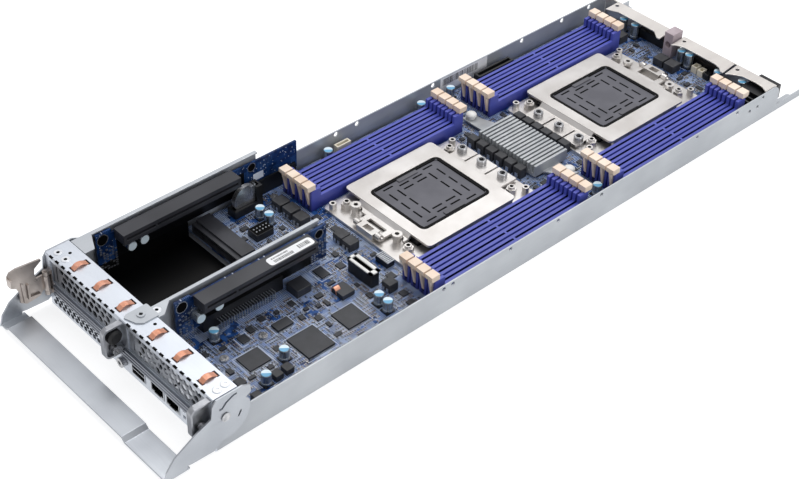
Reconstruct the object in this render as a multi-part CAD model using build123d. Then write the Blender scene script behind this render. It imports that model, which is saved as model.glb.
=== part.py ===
"""Open two-socket server node tray, one of the sleds that slide into a multi-node rack chassis.

Everything is laid out in mm from the middle of the front face: X to the right, Y towards the rear, Z up from
the tray's underside. At export it all moves by half the tray's length, so the origin is the middle of
the underside.
"""

import math
import os

from build123d import *

# Tray
WIDTH = 168.0
NODE_HEIGHT = 41.0
SHEET = 1.0
WALL_HEIGHT = 22.5
REAR_PLATE = 515.0
WALL_OVERHANG = 2.6
WALL_END = REAR_PLATE + WALL_OVERHANG
WALL_END_RADIUS = 7.0
FLOOR_OVERHANG = 9.0
FLOOR_END = REAR_PLATE + FLOOR_OVERHANG
LIP_HEIGHT = 5.4
LEFT_STRIP_REACH = 21.0
LEFT_LIP_END = FLOOR_END + LEFT_STRIP_REACH
RIGHT_STRIP_REACH = 36.0
LENGTH = FLOOR_END + RIGHT_STRIP_REACH
STRIP_WIDTH = 4.2
STRIP_ROOT = 7.0
STRIP_ROOT_REACH = 17.0
STRIP_ROOT_END = FLOOR_END + STRIP_ROOT_REACH
WALL_HOLE_Z = 20.0
WALL_HOLE_RADIUS = 1.5
WALL_HOLE_RADIUS_LEFT = 2.0
WALL_HOLES_RIGHT = [177.9, 185.7, 236.7, 281.1, 323.3, 423.0, 467.9, 497.6]
WALL_HOLES_LEFT = [233.6, 253.0, 326.5, 419.3, 463.6, 494.5]
LOW_HOLES = [(483.5, 14.2), (492.4, 14.2)]

# Front panel
TOP_DEPTH = 17.4
DASH_LENGTH = 3.6
DASH_PITCH = 6.5
FINGER_X = [-59.3, -35.6, -11.6, 20.8, 44.5, 68.4]
FINGER_WIDTH = 4.2
FINGER_SLOT = 5.6
FINGER_SHEET = 0.3
FINGER_RISE = 2.2
FINGER_FRONT = 3.9
FINGER_REAR = 14.3
BAY_Z = (20.6, 37.6)
COVER_TOP = 39.6
BAYS = [(-79.5, -7.5), (1.5, 78.5)]
HEX_FLAT = 3.6
HEX_PITCH = 4.7
BLANK_HEX = 1.22
RAIL_Z = (13.0, 19.4)
USB_X = (3.4, 16.8)
USB_Z = (3.6, 12.4)
LAN_X = [(22.4, 35.6), (37.4, 50.6)]
LAN_Z = (3.4, 12.2)

RUN = 0.08
EAR_SCREW = (-6.4, 22.6)
EAR_SCREW_RADIUS = 1.8
EAR_REACH = -14.0
EAR_Z = (17.4, 39.6)
EAR_ROUND = 4.0
EAR_DEEP = 4.0
EAR_SHEET = 1.2
CENTRE_EAR = -5.6
RIGHT_EAR = 78.6
PANEL_SCREW_RADIUS = 1.8

# Mainboard
BOARD_BOTTOM = 5.2
BOARD_THICK = 2.0
BOARD = BOARD_BOTTOM + BOARD_THICK
BOARD_SIDE_GAP = 1.5
BOARD_HALF = WIDTH / 2 - SHEET - BOARD_SIDE_GAP
SHANK = 1.5
BOARD_REAR_GAP = 0.6
BOARD_REAR = REAR_PLATE - SHEET - BOARD_REAR_GAP
BOARD_FRONT = 20.4
PORT_REAR = 20.0
PORT_TAIL = 24.0
BAY_BACK = 103.0
LINER_TOP = 14.6
SCREW_SPOTS = [(33.8, 45.1), (33.3, 75.2), (-68.0, 166.0), (78.0, 160.0), (-66.0, 328.0), (58.0, 328.0),
               (-60.0, 490.0), (46.0, 490.0)]

# Memory sockets and their latches
DIMM_PITCH = 7.84
DIMM_LEFT = -66.9
DIMM_RIGHT = 52.2
DIMM_FRONT = 245.3
DIMM_REAR = 412.6
DIMM_HALF = 70.0
DIMM_WIDTH = 6.4
DIMM_BODY = 10.3
DIMM_TOWER = 16.6
GROOVE = 1.6
LATCH_TOP = 21.3
LATCH_PIVOT = (-69.0, 5.2)
LATCH_EYE = 1.5

# Processor sockets
CPU_X = 3.2
CPU_FRONT = 242.5
CPU_REAR = 417.0
CAP = (53.6, 62.0)
FRAME = (83.0, 79.4)
FRAME_TOP = 8.4
FRAME_SHEET = 1.6
STEP_TOP = 5.2
BASE = (81.0, 119.6)
BASE_THICK = 2.2

# Voltage regulator heat sink
SINK_X = (-22.5, 32.5)
SINK_Y = (313.6, 345.4)
SINK_BASE = (9.4, 12.0)
SINK_TOP = 18.2
FINS = 17
FIN_THICK = 1.9
CHOKE = 7.4
CHOKE_DEEP = 6.2
CHOKE_TALL = 8.0

# Rear end
PLATE_SIDE_GAP = 0.4
PLATE_HALF = WIDTH / 2 - SHEET - PLATE_SIDE_GAP
GUIDE_X = (-13.2, -5.0)
GUIDE_Z = 18.0
GUIDE_BORE = 2.5
GUIDE_TOP = 28.0
REAR_PLUGS = [(-42.6, -18.0), (12.0, 32.6)]
PLUG_TOP = 14.6
POWER_X = (63.0, 81.0)

# Handle
PIVOT = (7.2, 24.8)
ARM_GAP = 0.35
ARM = 1.2
BAR_REAR = -19.0
BAR_FRONT = -36.0
BAR_Z = 1.0
BAR_JOGGLE = 2.6
JOGGLE_X = 46.0


def block(x0, x1, y0, y1, z0, z1):
    """A box given by its low and high corners."""
    return Pos((x0 + x1) / 2, (y0 + y1) / 2, (z0 + z1) / 2) * Box(x1 - x0, y1 - y0, z1 - z0)


def rod_z(x, y, r, z0, z1):
    """An upright round bar."""
    return Pos(x, y, (z0 + z1) / 2) * Cylinder(r, z1 - z0)


def rod_x(y, z, r, x0, x1):
    """A round bar along X."""
    return Pos((x0 + x1) / 2, y, z) * Rot(0, 90, 0) * Cylinder(r, x1 - x0)


def rod_y(x, z, r, y0, y1):
    """A round bar along Y."""
    return Pos(x, (y0 + y1) / 2, z) * Rot(90, 0, 0) * Cylinder(r, y1 - y0)


def post_z(x, y, r, z0, z1, sides=12):
    """An upright bar with flat sides, light enough to repeat for every small screw, stud and can."""
    return Pos(x, y, z0) * extrude(RegularPolygon(r, sides), z1 - z0)


def post_x(y, z, r, x0, x1, sides=12):
    """The same along X."""
    return Pos(x0, y, z) * Rot(0, 90, 0) * extrude(RegularPolygon(r, sides), x1 - x0)


def post_y(x, z, r, y0, y1, sides=12):
    """The same along Y."""
    return Pos(x, y1, z) * Rot(90, 0, 0) * extrude(RegularPolygon(r, sides), y1 - y0)


def side_cut(points, x0, x1, radius=0.0):
    """A plate standing in the YZ plane with the given outline."""
    face = make_face(Polyline(*points, close=True))
    if radius:
        face = fillet(face.vertices(), radius)
    return extrude(Plane.YZ.offset(x0) * face, x1 - x0)


def flat_cut(points, z0, z1, radius=0.0):
    """A flat plate with the given outline seen from above."""
    face = make_face(Polyline(*points, close=True))
    if radius:
        face = fillet(face.vertices(), radius)
    return Pos(0, 0, z0) * extrude(face, z1 - z0)


def rounded(x0, x1, y0, y1, z0, z1, radius):
    """A box whose upright edges are rounded."""
    face = RectangleRounded(x1 - x0, y1 - y0, radius)
    return Pos((x0 + x1) / 2, (y0 + y1) / 2, z0) * extrude(face, z1 - z0)


def honeycomb(x0, x1, z0, z1, rows, y0, y1, scale=1.0):
    """Staggered rows of six-sided holes to cut from a panel."""
    pitch = HEX_PITCH * scale
    columns = int((x1 - x0) / pitch)
    cell = extrude(Plane.XZ * RegularPolygon(HEX_FLAT * scale / 2, 6, major_radius=False), y1 - y0, both=True)
    row_step = (z1 - z0) / rows
    holes = []
    for row in range(rows):
        shift = pitch / 2 if row % 2 else 0.0
        for column in range(columns - (row % 2)):
            x = x0 + pitch / 2 + shift + column * pitch
            holes.append(Pos(x, (y0 + y1) / 2, z0 + row_step * (row + 0.5)) * cell)
    return holes


def screw_head(x, y, z, radius, height):
    """A low screw head with a six-sided driver recess."""
    return post_z(x, y, radius, z, z + height) - post_z(x, y, radius * 0.5, z + height * 0.45, z + height + 1, 6)


def make_tray():
    """Floor and two low side walls folded from one sheet, with a narrow lipped strip behind each wall."""
    half = WIDTH / 2
    wall = side_cut([(SHEET, 0), (WALL_END, 0), (WALL_END, WALL_HEIGHT), (SHEET, WALL_HEIGHT)], 0, SHEET)
    rear_corner = [e for e in wall.edges().filter_by(Axis.X) if e.center().Y > WALL_END - 1 and e.center().Z > 15]
    wall = fillet(rear_corner, WALL_END_RADIUS)
    left = Pos(-half, 0, 0) * (wall + block(0, SHEET, WALL_END - 1, LEFT_LIP_END, 0, LIP_HEIGHT))
    right = Pos(half - SHEET, 0, 0) * (wall + block(0, SHEET, WALL_END - 1, LENGTH, 0, LIP_HEIGHT))
    floor = block(-half, half, SHEET, FLOOR_END, 0, SHEET)
    for low, end in ((-half, LEFT_LIP_END), (half - STRIP_WIDTH, LENGTH)):
        floor += block(low, low + STRIP_WIDTH, FLOOR_END - 1, end, 0, SHEET)
    for low, inner in ((-half, 1), (half - STRIP_ROOT, -1)):
        root = block(low, low + STRIP_ROOT, FLOOR_END - 1, STRIP_ROOT_END, 0, SHEET)
        corner = [e for e in root.edges().filter_by(Axis.Z)
                  if e.center().Y > STRIP_ROOT_END - 1 and inner * e.center().X > inner * (low + STRIP_ROOT / 2)]
        floor += fillet(corner, STRIP_ROOT - STRIP_WIDTH - 0.2)
    cuts = [post_x(y, WALL_HOLE_Z, WALL_HOLE_RADIUS, half - 2, half + 1, 8) for y in WALL_HOLES_RIGHT]
    cuts += [post_x(y, WALL_HOLE_Z, WALL_HOLE_RADIUS_LEFT, -half - 1, 2 - half, 8) for y in WALL_HOLES_LEFT]
    cuts += [post_x(y, z, WALL_HOLE_RADIUS, half - 2, half + 1, 8) for y, z in LOW_HOLES]
    return (floor + left + right) - cuts


def make_front_panel():
    """Face with port cut-outs and two card windows, folded into the top plate."""
    half = WIDTH / 2
    panel = block(-half, half, 0, SHEET, 0, NODE_HEIGHT)
    panel += block(-half, half, 0, TOP_DEPTH, NODE_HEIGHT - SHEET, NODE_HEIGHT)
    front_edge = [e for e in panel.edges().filter_by(Axis.X)
                  if e.center().Y < 0.01 and e.center().Z > NODE_HEIGHT - 1]
    panel = chamfer(front_edge, 0.5)
    side_z = WALL_HEIGHT + 0.1
    for x0 in (-half, half - SHEET):
        panel += block(x0, x0 + SHEET, SHEET, TOP_DEPTH, side_z, NODE_HEIGHT - SHEET)
    cuts = [block(x0, x1, -1, SHEET + 1, *BAY_Z) for x0, x1 in BAYS]
    cuts += [block(x0, x0 + DASH_LENGTH, -1, 1.3, NODE_HEIGHT - 0.9, NODE_HEIGHT + 1)
             for x0 in [-79.5 + DASH_PITCH * i for i in range(11)] + [1.6 + DASH_PITCH * i for i in range(12)]]
    for x in FINGER_X:
        for y in (FINGER_FRONT - 1.1, FINGER_REAR - 0.9):
            cuts.append(block(x - FINGER_SLOT / 2, x + FINGER_SLOT / 2, y, y + 2.0,
                              NODE_HEIGHT - 2, NODE_HEIGHT + 1))
    cuts += [block(USB_X[0] - 0.1, USB_X[1] + 0.1, -1, SHEET + 1, USB_Z[0] - 0.1, USB_Z[1] + 0.1)]
    cuts += [block(x0 - 0.1, x1 + 0.1, -1, SHEET + 1, LAN_Z[0] - 0.1, LAN_Z[1] + 0.1) for x0, x1 in LAN_X]
    cuts += [block(53.6, 56.2, -1, SHEET + 1, z, z + 2.6) for z in (3.9, 9.2)]
    cuts.append(rod_y(-5.0, 7.0, PANEL_SCREW_RADIUS + RUN, -1, SHEET + 1))
    cuts += honeycomb(-81.5, -26.0, 2.2, 12.4, 3, 0, SHEET)
    return panel - cuts


def make_slot_covers():
    """Blank brackets that close the two card windows from behind, pierced for air."""
    covers = []
    for x0, x1 in BAYS:
        plate = block(x0 - 1.4, x1 + 1.4, SHEET, SHEET + 0.8, BAY_Z[0] - 1.0, COVER_TOP)
        plate += block(x0 + 2, x1 - 2, SHEET, SHEET + 9.0, COVER_TOP - 0.8, COVER_TOP)
        plate -= block(x0 + 4.6, x0 + 6.0, 0, 3, BAY_Z[0] + 2.5, BAY_Z[1] - 2.5)
        covers.append(plate - honeycomb(x0 + 8, x1 - 2, BAY_Z[0] + 0.2, BAY_Z[1] - 0.2, 3,
                                        SHEET, SHEET + 0.8, BLANK_HEX))
    return covers


def make_mid_rail():
    """Ribbed bar across the face between the card windows and the ports."""
    low, high = RAIL_Z
    outline = [(0, low), (-1.6, low), (-1.6, low + 1.1), (-0.8, low + 1.5), (-0.8, low + 2.3), (-1.6, low + 2.7),
               (-1.6, high - 2.7), (-0.8, high - 2.3), (-0.8, high - 1.5), (-1.6, high - 1.1), (-1.6, high), (0, high)]
    return side_cut(outline, -77.0, 77.0)


def make_emi_fingers():
    """Six arched contact strips whose legs pass through slots in the top plate."""
    top, foot = NODE_HEIGHT, NODE_HEIGHT - SHEET - FINGER_SHEET
    front, rear, thick = FINGER_FRONT, FINGER_REAR, FINGER_SHEET
    span = rear - front
    outer = [(front, top), (front + 0.22 * span, top + 0.8 * FINGER_RISE), (front + 0.42 * span, top + FINGER_RISE),
             (front + 0.62 * span, top + 0.86 * FINGER_RISE), (rear, top)]
    inner = [(y, z - thick) for y, z in outer]
    arch = side_cut(outer + inner[::-1], 0, FINGER_WIDTH)
    arch += block(0, FINGER_WIDTH, front, front + thick, foot, top)
    arch += block(0, FINGER_WIDTH, rear - thick, rear, foot, top)
    return [Pos(x - FINGER_WIDTH / 2, 0, 0) * arch for x in FINGER_X]


def make_panel_screws():
    """Rivets and screws seated on the top plate."""
    z = NODE_HEIGHT
    spots = [(-78.3, 5.9, 2.4), (-70.2, 5.7, 2.4), (79.0, 7.0, 2.2), (78.3, 13.3, 1.4)]
    return [screw_head(x, y, z, r, 0.6) for x, y, r in spots]


def ear_outline(inset):
    """The ear seen from the side: square at the panel, well rounded at its free end."""
    front, low, high = EAR_REACH + inset, EAR_Z[0] + inset, EAR_Z[1] - inset
    face = make_face(Polyline((0, low + 2.6), (-2.0 - inset, low + 2.6), (-2.0 - inset, low), (front, low),
                              (front, high), (0, high), close=True))
    return fillet([v for v in face.vertices() if v.X < front + 0.01], EAR_ROUND - inset)


def make_ear(x):
    """Dished side tab that stands forward of the panel and holds a card bracket's screw."""
    tab = extrude(Plane.YZ.offset(x) * ear_outline(0.0), EAR_DEEP)
    tab -= extrude(Plane.YZ.offset(x + EAR_SHEET) * ear_outline(EAR_SHEET), EAR_DEEP)
    return tab - rod_x(EAR_SCREW[0], EAR_SCREW[1], EAR_SCREW_RADIUS + RUN, x - 1, x + 6)


def make_turn_screw(x, y, z):
    """Knurled captive screw on a spring collar, its axis along X."""
    head = post_x(y, z, 3.3, x + 2.4, x + 5.6, 16) - post_x(y, z, 1.5, x + 4.6, x + 6, 6)
    return head + rod_x(y, z, EAR_SCREW_RADIUS, x - 0.8, x + 2.5)


def make_ear_pad():
    """Soft black thumb pad seated in the centre ear's dish."""
    pad = post_x(-6.4, 32.0, 5.0, CENTRE_EAR + 1.2, CENTRE_EAR + 5.8, 16)
    return chamfer(pad.edges().group_by(Axis.X)[-1], 1.4)


def make_panel_screw():
    """Captive screw through the face, its axis along Y."""
    head = post_y(-5.0, 7.0, 3.4, -3.4, -0.4, 16) - post_y(-5.0, 7.0, 1.5, -4, -2.6, 6)
    return head + rod_y(-5.0, 7.0, PANEL_SCREW_RADIUS, -0.5, 1.9)


def make_handle():
    """Bail: two cam arms outside the side walls, joined by a bar with a joggle near its right end."""
    py, pz = PIVOT
    lobe = [(py + 17.5 * math.cos(math.radians(a)), pz + 17.5 * math.sin(math.radians(a)))
            for a in range(-100, 16, 10)]
    outline = [(BAR_FRONT - 0.8, BAR_Z), (BAR_FRONT + 14.0, BAR_Z), (BAR_FRONT + 15.4, BAR_Z + 3.2),
               (BAR_FRONT + 18.2, BAR_Z + 2.6), (-2.0, 3.0)] + lobe
    outline += [(22.0, 30.5), (25.6, 33.0), (25.6, 38.0), (20.0, 40.8), (1.4, 40.8), (-1.6, 37.0), (-2.6, 28.8),
                (-13.0, 24.4), (-28.6, 15.4), (-34.5, 8.2)]
    slot = [(3.4, 31.4), (5.4, 31.4), (8.6, 34.6), (13.6, 37.0), (15.8, 37.2), (15.8, 38.3), (13.0, 38.3),
            (7.6, 35.8), (5.0, 33.0), (3.4, 33.0)]
    half = WIDTH / 2 + ARM_GAP
    arms = []
    for x0 in (-half - ARM, half):
        arm = side_cut(outline, x0, x0 + ARM)
        arm -= [side_cut(slot, x0 - 1, x0 + 2), rod_x(py, pz, 2.3, x0 - 1, x0 + 2)]
        arm -= side_cut([(15.4, 19.0), (16.6, 19.0), (18.6, 22.4), (18.2, 23.6), (17.2, 22.6)], x0 - 1, x0 + 2)
        arms.append(arm)
    z0, z1 = BAR_Z, BAR_Z + ARM
    strip = make_face(Polyline(
        (-half - ARM, z0), (-half + 5, z0), (-half + 8, z0 + BAR_JOGGLE), (JOGGLE_X - 3, z0 + BAR_JOGGLE),
        (JOGGLE_X, z0), (half + ARM, z0), (half + ARM, z1), (JOGGLE_X + 0.3, z1), (JOGGLE_X - 2.7, z1 + BAR_JOGGLE),
        (-half + 7.7, z1 + BAR_JOGGLE), (-half + 4.7, z1), (-half - ARM, z1), close=True))
    bar = extrude(Plane.XZ.offset(-BAR_REAR) * strip, BAR_REAR - BAR_FRONT)
    bar = chamfer(bar.edges().filter_by(Axis.X).group_by(Axis.Y)[0], 0.3)
    return bar + arms


def make_handle_pins():
    """Shoulder rivets that carry the handle's two arms."""
    py, pz = PIVOT
    face = WIDTH / 2
    pins = []
    for side in (-1, 1):
        x = side * face
        head_start = x + side * (ARM_GAP + ARM + 0.3)
        head_end = head_start + side * 0.5
        pin = rod_x(py, pz, 2.25, min(x, head_start), max(x, head_start))
        pin += post_x(py, pz, 3.0, min(head_start, head_end), max(head_start, head_end), 12)
        pins.append(pin)
    return pins


def make_latch_hinge():
    """Small bracket on the panel's left edge with an upright pin for the release lever."""
    x, y = -80.6, -3.4
    bracket = block(x - 2.6, x + 2.2, -0.8, 0, 12.0, 30.0)
    knuckles = []
    for z0, z1 in ((12.0, 15.0), (27.0, 30.0)):
        knuckles.append(block(x - 1.5, x + 1.5, y, -0.5, z0, z1) + post_z(x, y, 2.1, z0, z1))
    return (bracket + knuckles) + rod_z(x, y, 1.0, 11.4, 30.6)


def make_latch_lever():
    """Stamped release lever: a hooked nose at the top, a body with a pressed rib, a curled hinge eye."""
    x = -82.8
    outline = [(-28.5, 30.5), (-28.7, 37.5), (-26.5, 40.4), (-22.0, 41.2), (-5.0, 39.6), (-4.6, 38.2), (-9.8, 34.6),
               (-10.4, 31.0), (-9.4, 26.7), (-5.8, 26.7), (-5.8, 15.3), (-9.0, 12.0), (-18.0, 11.0), (-22.4, 14.0),
               (-21.8, 21.0), (-23.6, 26.2), (-27.0, 28.0)]
    plate = side_cut(outline, x, x + 1.2)
    plate = fillet(plate.edges().filter_by(Axis.X).group_by(Axis.Y)[0], 2.2)
    rib = side_cut([(-20.0, 13.0), (-18.4, 13.0), (-18.8, 27.0), (-20.6, 29.0)], x + 1.2, x + 1.9)
    hook = side_cut([(-17.0, 14.5), (-8.4, 13.6), (-8.4, 15.0), (-15.6, 16.0), (-15.6, 26.0), (-17.0, 26.0)],
                    x + 1.2, x + 2.6)
    eye = rod_z(-80.6, -3.4, 2.2, 15.3, 26.7) + block(x, x + 1.2, -6.0, -3.4, 15.3, 26.7)
    thumb = block(x, x + 5.0, -28.6, -27.4, 31.5, 37.0)
    return plate + rib + hook + eye + thumb - rod_z(-80.6, -3.4, 1.06, 10, 30)


def make_mainboard():
    """The main circuit board, cut away at the front left for the card bay."""
    right = BOARD_HALF
    outline = [(-6.0, BOARD_FRONT), (right, BOARD_FRONT), (right, BOARD_REAR), (-right, BOARD_REAR),
               (-right, BAY_BACK), (-6.0, BAY_BACK)]
    board = flat_cut(outline, BOARD_BOTTOM, BOARD)
    return board - [post_z(x, y, SHANK + 0.1, BOARD_BOTTOM - 1, BOARD + 1, 8) for x, y in SCREW_SPOTS]


def make_standoffs():
    """Six-sided spacers that hold the board above the floor."""
    post = extrude(RegularPolygon(2.9, 6), BOARD_BOTTOM - SHEET)
    return [Pos(x, y, SHEET) * post for x, y in SCREW_SPOTS]


def make_board_screws():
    """Board screws, their shanks inside the board's holes."""
    return [screw_head(x, y, BOARD, 3.0, 1.5) + post_z(x, y, SHANK, BOARD_BOTTOM, BOARD + 0.1, 8)
            for x, y in SCREW_SPOTS]


def make_dimm(x, y):
    """One memory socket: slotted body between two end towers that fork round the latches."""
    half_x, half_y = DIMM_WIDTH / 2, DIMM_HALF
    body = block(-half_x, half_x, -half_y + 1, half_y - 1, 0, DIMM_BODY)
    for side in (-1, 1):
        low, high = sorted((side * 61.6, side * half_y))
        body += block(-half_x, half_x, low, high, 0, DIMM_TOWER)
    cuts = [block(-GROOVE / 2, GROOVE / 2, -66.0, 2.6, 3.0, DIMM_TOWER + 1),
            block(-GROOVE / 2, GROOVE / 2, 4.4, 66.0, 3.0, DIMM_TOWER + 1)]
    for side in (-1, 1):
        low, high = sorted((side * 65.9, side * (half_y + 1)))
        cuts.append(block(-1.3, 1.3, low, high, 2.6, DIMM_TOWER + 1))
    return Pos(x, y, BOARD) * (body - cuts)


def make_latch(side):
    """One end latch: T-shaped thumb cap over a tapering lever, on the near (-1) or far (1) end."""
    cap = side_cut([(-66.4, 17.2), (-72.4, 17.2), (-73.2, 18.4), (-73.2, LATCH_TOP), (-66.4, LATCH_TOP)], -3.3, 3.3)
    y, z = LATCH_PIVOT
    low = LATCH_EYE * math.sqrt(0.5)
    sides = Polyline((y - low, z - low), (-72.8, 17.3), (-67.0, 17.3), (y + low, z - low))
    foot = ThreePointArc((y + low, z - low), (y, z - LATCH_EYE), (y - low, z - low))
    web = extrude(Plane.YZ.offset(-0.9) * make_face(sides + foot), 1.8)
    latch = cap + web
    if side > 0:
        latch = mirror(latch, Plane.XZ)
    return latch


def make_latches(bank_y, side):
    """The eight latches of one end of the two banks that share a row."""
    one = make_latch(side)
    columns = [x0 + i * DIMM_PITCH for x0 in (DIMM_LEFT, DIMM_RIGHT) for i in range(4)]
    return [Pos(x, bank_y, BOARD) * one for x in columns]


def socket_place(centre_y, turned):
    """Where a processor socket sits on the board: the rear one is turned end for end."""
    return Pos(CPU_X, centre_y, BOARD) * Rot(0, 0, 180 if turned else 0)


def make_cpu_base():
    """Stiffener plate with the studs, nuts and hinge block that stay on the board."""
    bx, by = BASE[0] / 2, BASE[1] / 2
    plate = chamfer(block(-bx, bx, -by, by, 0, BASE_THICK).edges().filter_by(Axis.Z), 2.0)
    plate -= block(-31, 31, -40, 40, -1, BASE_THICK + 1)
    hinge = block(-7.6, 7.6, -59.0, -51.6, BASE_THICK, 7.2) + rod_x(-55.4, 5.6, 1.0, -14.0, 14.0)
    hinge -= block(-3.6, 3.6, -57.6, -53.2, 4.4, 9)
    fasteners = [hinge]
    for x, y in ((-29.5, -48.4), (30.9, -48.4), (-29.5, 46.4), (30.9, 46.4)):
        fasteners.append(post_z(x, y, 3.8, BASE_THICK, 6.4, 6) + post_z(x, y, 2.4, 6.3, 8.2, 8))
    for x, y in ((-34.5, -56.2), (35.0, -56.2), (-34.5, 54.0), (37.0, 54.0)):
        fasteners.append(post_z(x, y, 2.5, BASE_THICK, 7.4, 8))
    for x in (-21.8, 18.6):
        fasteners.append(post_z(x, -47.0, 2.6, BASE_THICK, 6.7, 8) + post_z(x, -47.0, 3.6, 6.6, 9.2)
                         - post_z(x, -47.0, 1.7, 7.8, 10, 6))
    return [plate] + fasteners


def make_cpu_housing():
    """Black contact housing between the base plate and the cap."""
    return rounded(-30.6, 30.6, -38.8, 38.8, 0, 5.4, 2.0) - block(-24, 24, -29, 29, 3.6, 6)


def make_force_frame():
    """Sprung clamp frame: raised window plate, side flanges and stepped end tabs, hinged on the rod."""
    fx, fy = FRAME[0] / 2, FRAME[1] / 2
    top, under = FRAME_TOP, FRAME_TOP - FRAME_SHEET
    plate = rounded(-fx, fx, -fy, fy, under, top, 3.0)
    plate -= Pos(0, 0, under - 1) * extrude(RectangleRounded(CAP[0] + 0.8, CAP[1] + 0.8, 4.4), FRAME_SHEET + 2)
    for side in (-1, 1):
        low, high = sorted((side * fx, side * (fx - FRAME_SHEET)))
        plate += block(low, high, -fy + 8, fy - 3, BASE_THICK + 0.6, under + 0.1)
    slope = [(fy - 0.4, top), (fy + 2.6, STEP_TOP), (58.0, STEP_TOP), (58.0, STEP_TOP - FRAME_SHEET),
             (fy + 1.6, STEP_TOP - FRAME_SHEET), (fy - 1.4, under)]
    far = side_cut(slope, -25.4, 24.6)
    gaps = [block(-13.2, -11.8, fy + 5, 60, 0, 9), block(6.4, 7.8, fy + 5, 60, 0, 9),
            block(24.4, 30, fy + 3, 60, 0, 9)]
    far -= gaps
    near = mirror(side_cut([(fy - 0.4, top), (fy + 2.6, STEP_TOP), (51.0, STEP_TOP), (51.0, STEP_TOP - FRAME_SHEET),
                            (fy + 1.6, STEP_TOP - FRAME_SHEET), (fy - 1.4, under)], -25.4, 24.0), Plane.XZ)
    near -= [post_z(x, -47.0, 4.5, 0, 9) for x in (-21.8, 18.6)]
    near -= [block(x0, x1, -52, -45.8, 0, 9) for x0, x1 in ((-28, -12.6), (12.6, 25))]
    near -= block(-8.2, 8.2, -52, -46.2, 0, 9)
    knuckles = []
    for x0, x1 in ((-12.4, -8.2), (8.2, 12.4)):
        eye = post_x(-55.4, 5.6, 2.4, x0, x1) + block(x0, x1, -55.4, -49.0, 3.6, STEP_TOP)
        knuckles.append(eye)
    frame = plate + far + near + knuckles
    screw_holes = [post_z(x, 51.6, 2.8, 0, 9, 8) for x in (-22.0, -3.0, 17.0)]
    return frame - [rod_x(-55.4, 5.6, 1.06, -20, 20)] - screw_holes


def make_frame_screws():
    """Three captive socket screws with sprung collars at the frame's free end."""
    screws = []
    for x in (-22.0, -3.0, 17.0):
        screw = post_z(x, 51.6, 2.3, BASE_THICK + 0.4, 6.0, 8) + post_z(x, 51.6, 3.7, STEP_TOP + 0.02, 9.0)
        screws.append(screw - post_z(x, 51.6, 1.8, 7.4, 10, 6))
    return screws


def make_cpu_cap():
    """Dust cap seated in the frame's window, with a shallow rim."""
    under = 5.7
    cap = extrude(RectangleRounded(CAP[0], CAP[1], 4.0), FRAME_TOP - under)
    cap -= Pos(0, 0, FRAME_TOP - under - 0.8) * extrude(RectangleRounded(CAP[0] - 4, CAP[1] - 4, 3.0), 1)
    return Pos(0, 0, under) * cap


def make_heatsink():
    """Finned bar over the regulators, with two mounting arms."""
    x0, x1 = SINK_X
    y0, y1 = SINK_Y
    sink = block(x0, x1, y0, y1, *SINK_BASE)
    step = (x1 - x0 - FIN_THICK) / (FINS - 1)
    for i in range(FINS):
        fx = x0 + i * step
        sink += block(fx, fx + FIN_THICK, y0, y1, SINK_BASE[1] - 0.1, SINK_TOP)
    left = flat_cut([(x0 + 0.1, 324), (x0 + 0.1, 340), (-40, 334), (-49, 333), (-49, 324)], 9.4, 10.6)
    right = flat_cut([(x1 - 0.1, 322), (x1 - 0.1, 338), (49, 339), (49, 330), (42, 328)], 9.4, 10.6)
    return (sink + left + right) - [post_z(-45.0, 328.6, 2.2, 9, 11), post_z(45.0, 334.6, 2.2, 9, 11)]


def make_push_pins():
    """Two sprung push pins that hold the heat sink's arms to the board."""
    pins = []
    for x, y in ((-45.0, 328.6), (45.0, 334.6)):
        pin = post_z(x, y, 2.0, BOARD, 11.0) + post_z(x, y, 3.0, 10.6, 13.6) + post_z(x, y, 3.9, 13.6, 15.4)
        pins.append(pin)
    return pins


def make_chokes():
    """Square power inductors: two rows of six at the heat sink and singles elsewhere."""
    z1 = BOARD + CHOKE_TALL
    front = [(-23.0 + 9.05 * i, 306.2) for i in range(6)]
    rear = [(-21.2 + 8.7 * i, 350.6) for i in range(6)]
    parts = [block(x - CHOKE / 2, x + CHOKE / 2, y, y + CHOKE_DEEP, BOARD, z1) for x, y in front + rear]
    singles = [(-4.6, 170.9, 4.2), (4.4, 170.7, 4.2), (51.0, 163.0, 3.8),
               (-57.4, 163.0, 4.6), (-46.8, 163.4, 4.6), (-35.8, 162.8, 4.4),
               (-47.6, 492.0, 4.6), (-5.0, 491.0, 4.6), (5.4, 491.0, 4.6)]
    parts += [block(x - s, x + s, y - s, y + s, BOARD, z1 - 1.5) for x, y, s in singles]
    small = [(66.0, 67.4), (66.0, 59.4), (72.6, 39.4), (57.6, 38.4)]
    return parts + [block(x - 3.2, x + 3.2, y - 3.0, y + 3.0, BOARD, BOARD + 4.2) for x, y in small]


def make_capacitors():
    """Upright can capacitors, each on its square foot."""
    spots = [(66.3, 51.3), (56.8, 72.6), (57.2, 148.1), (65.6, 147.9), (16.9, 50.8), (-77.0, 221.3), (-76.6, 309.0),
             (-77.2, 338.9), (71.3, 334.0), (-57.8, 145.8), (-49.0, 146.3), (-58.4, 507.6), (-47.0, 507.6),
             (0.4, 507.0), (7.8, 507.4), (37.0, 504.8), (57.0, 508.4)]
    cans = []
    for x, y in spots:
        can = post_z(x, y, 3.4, BOARD + 0.8, BOARD + 9.0, 10)
        cans.append(can + block(x - 3.4, x + 3.4, y - 3.4, y + 3.4, BOARD, BOARD + 0.9))
    return cans


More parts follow.
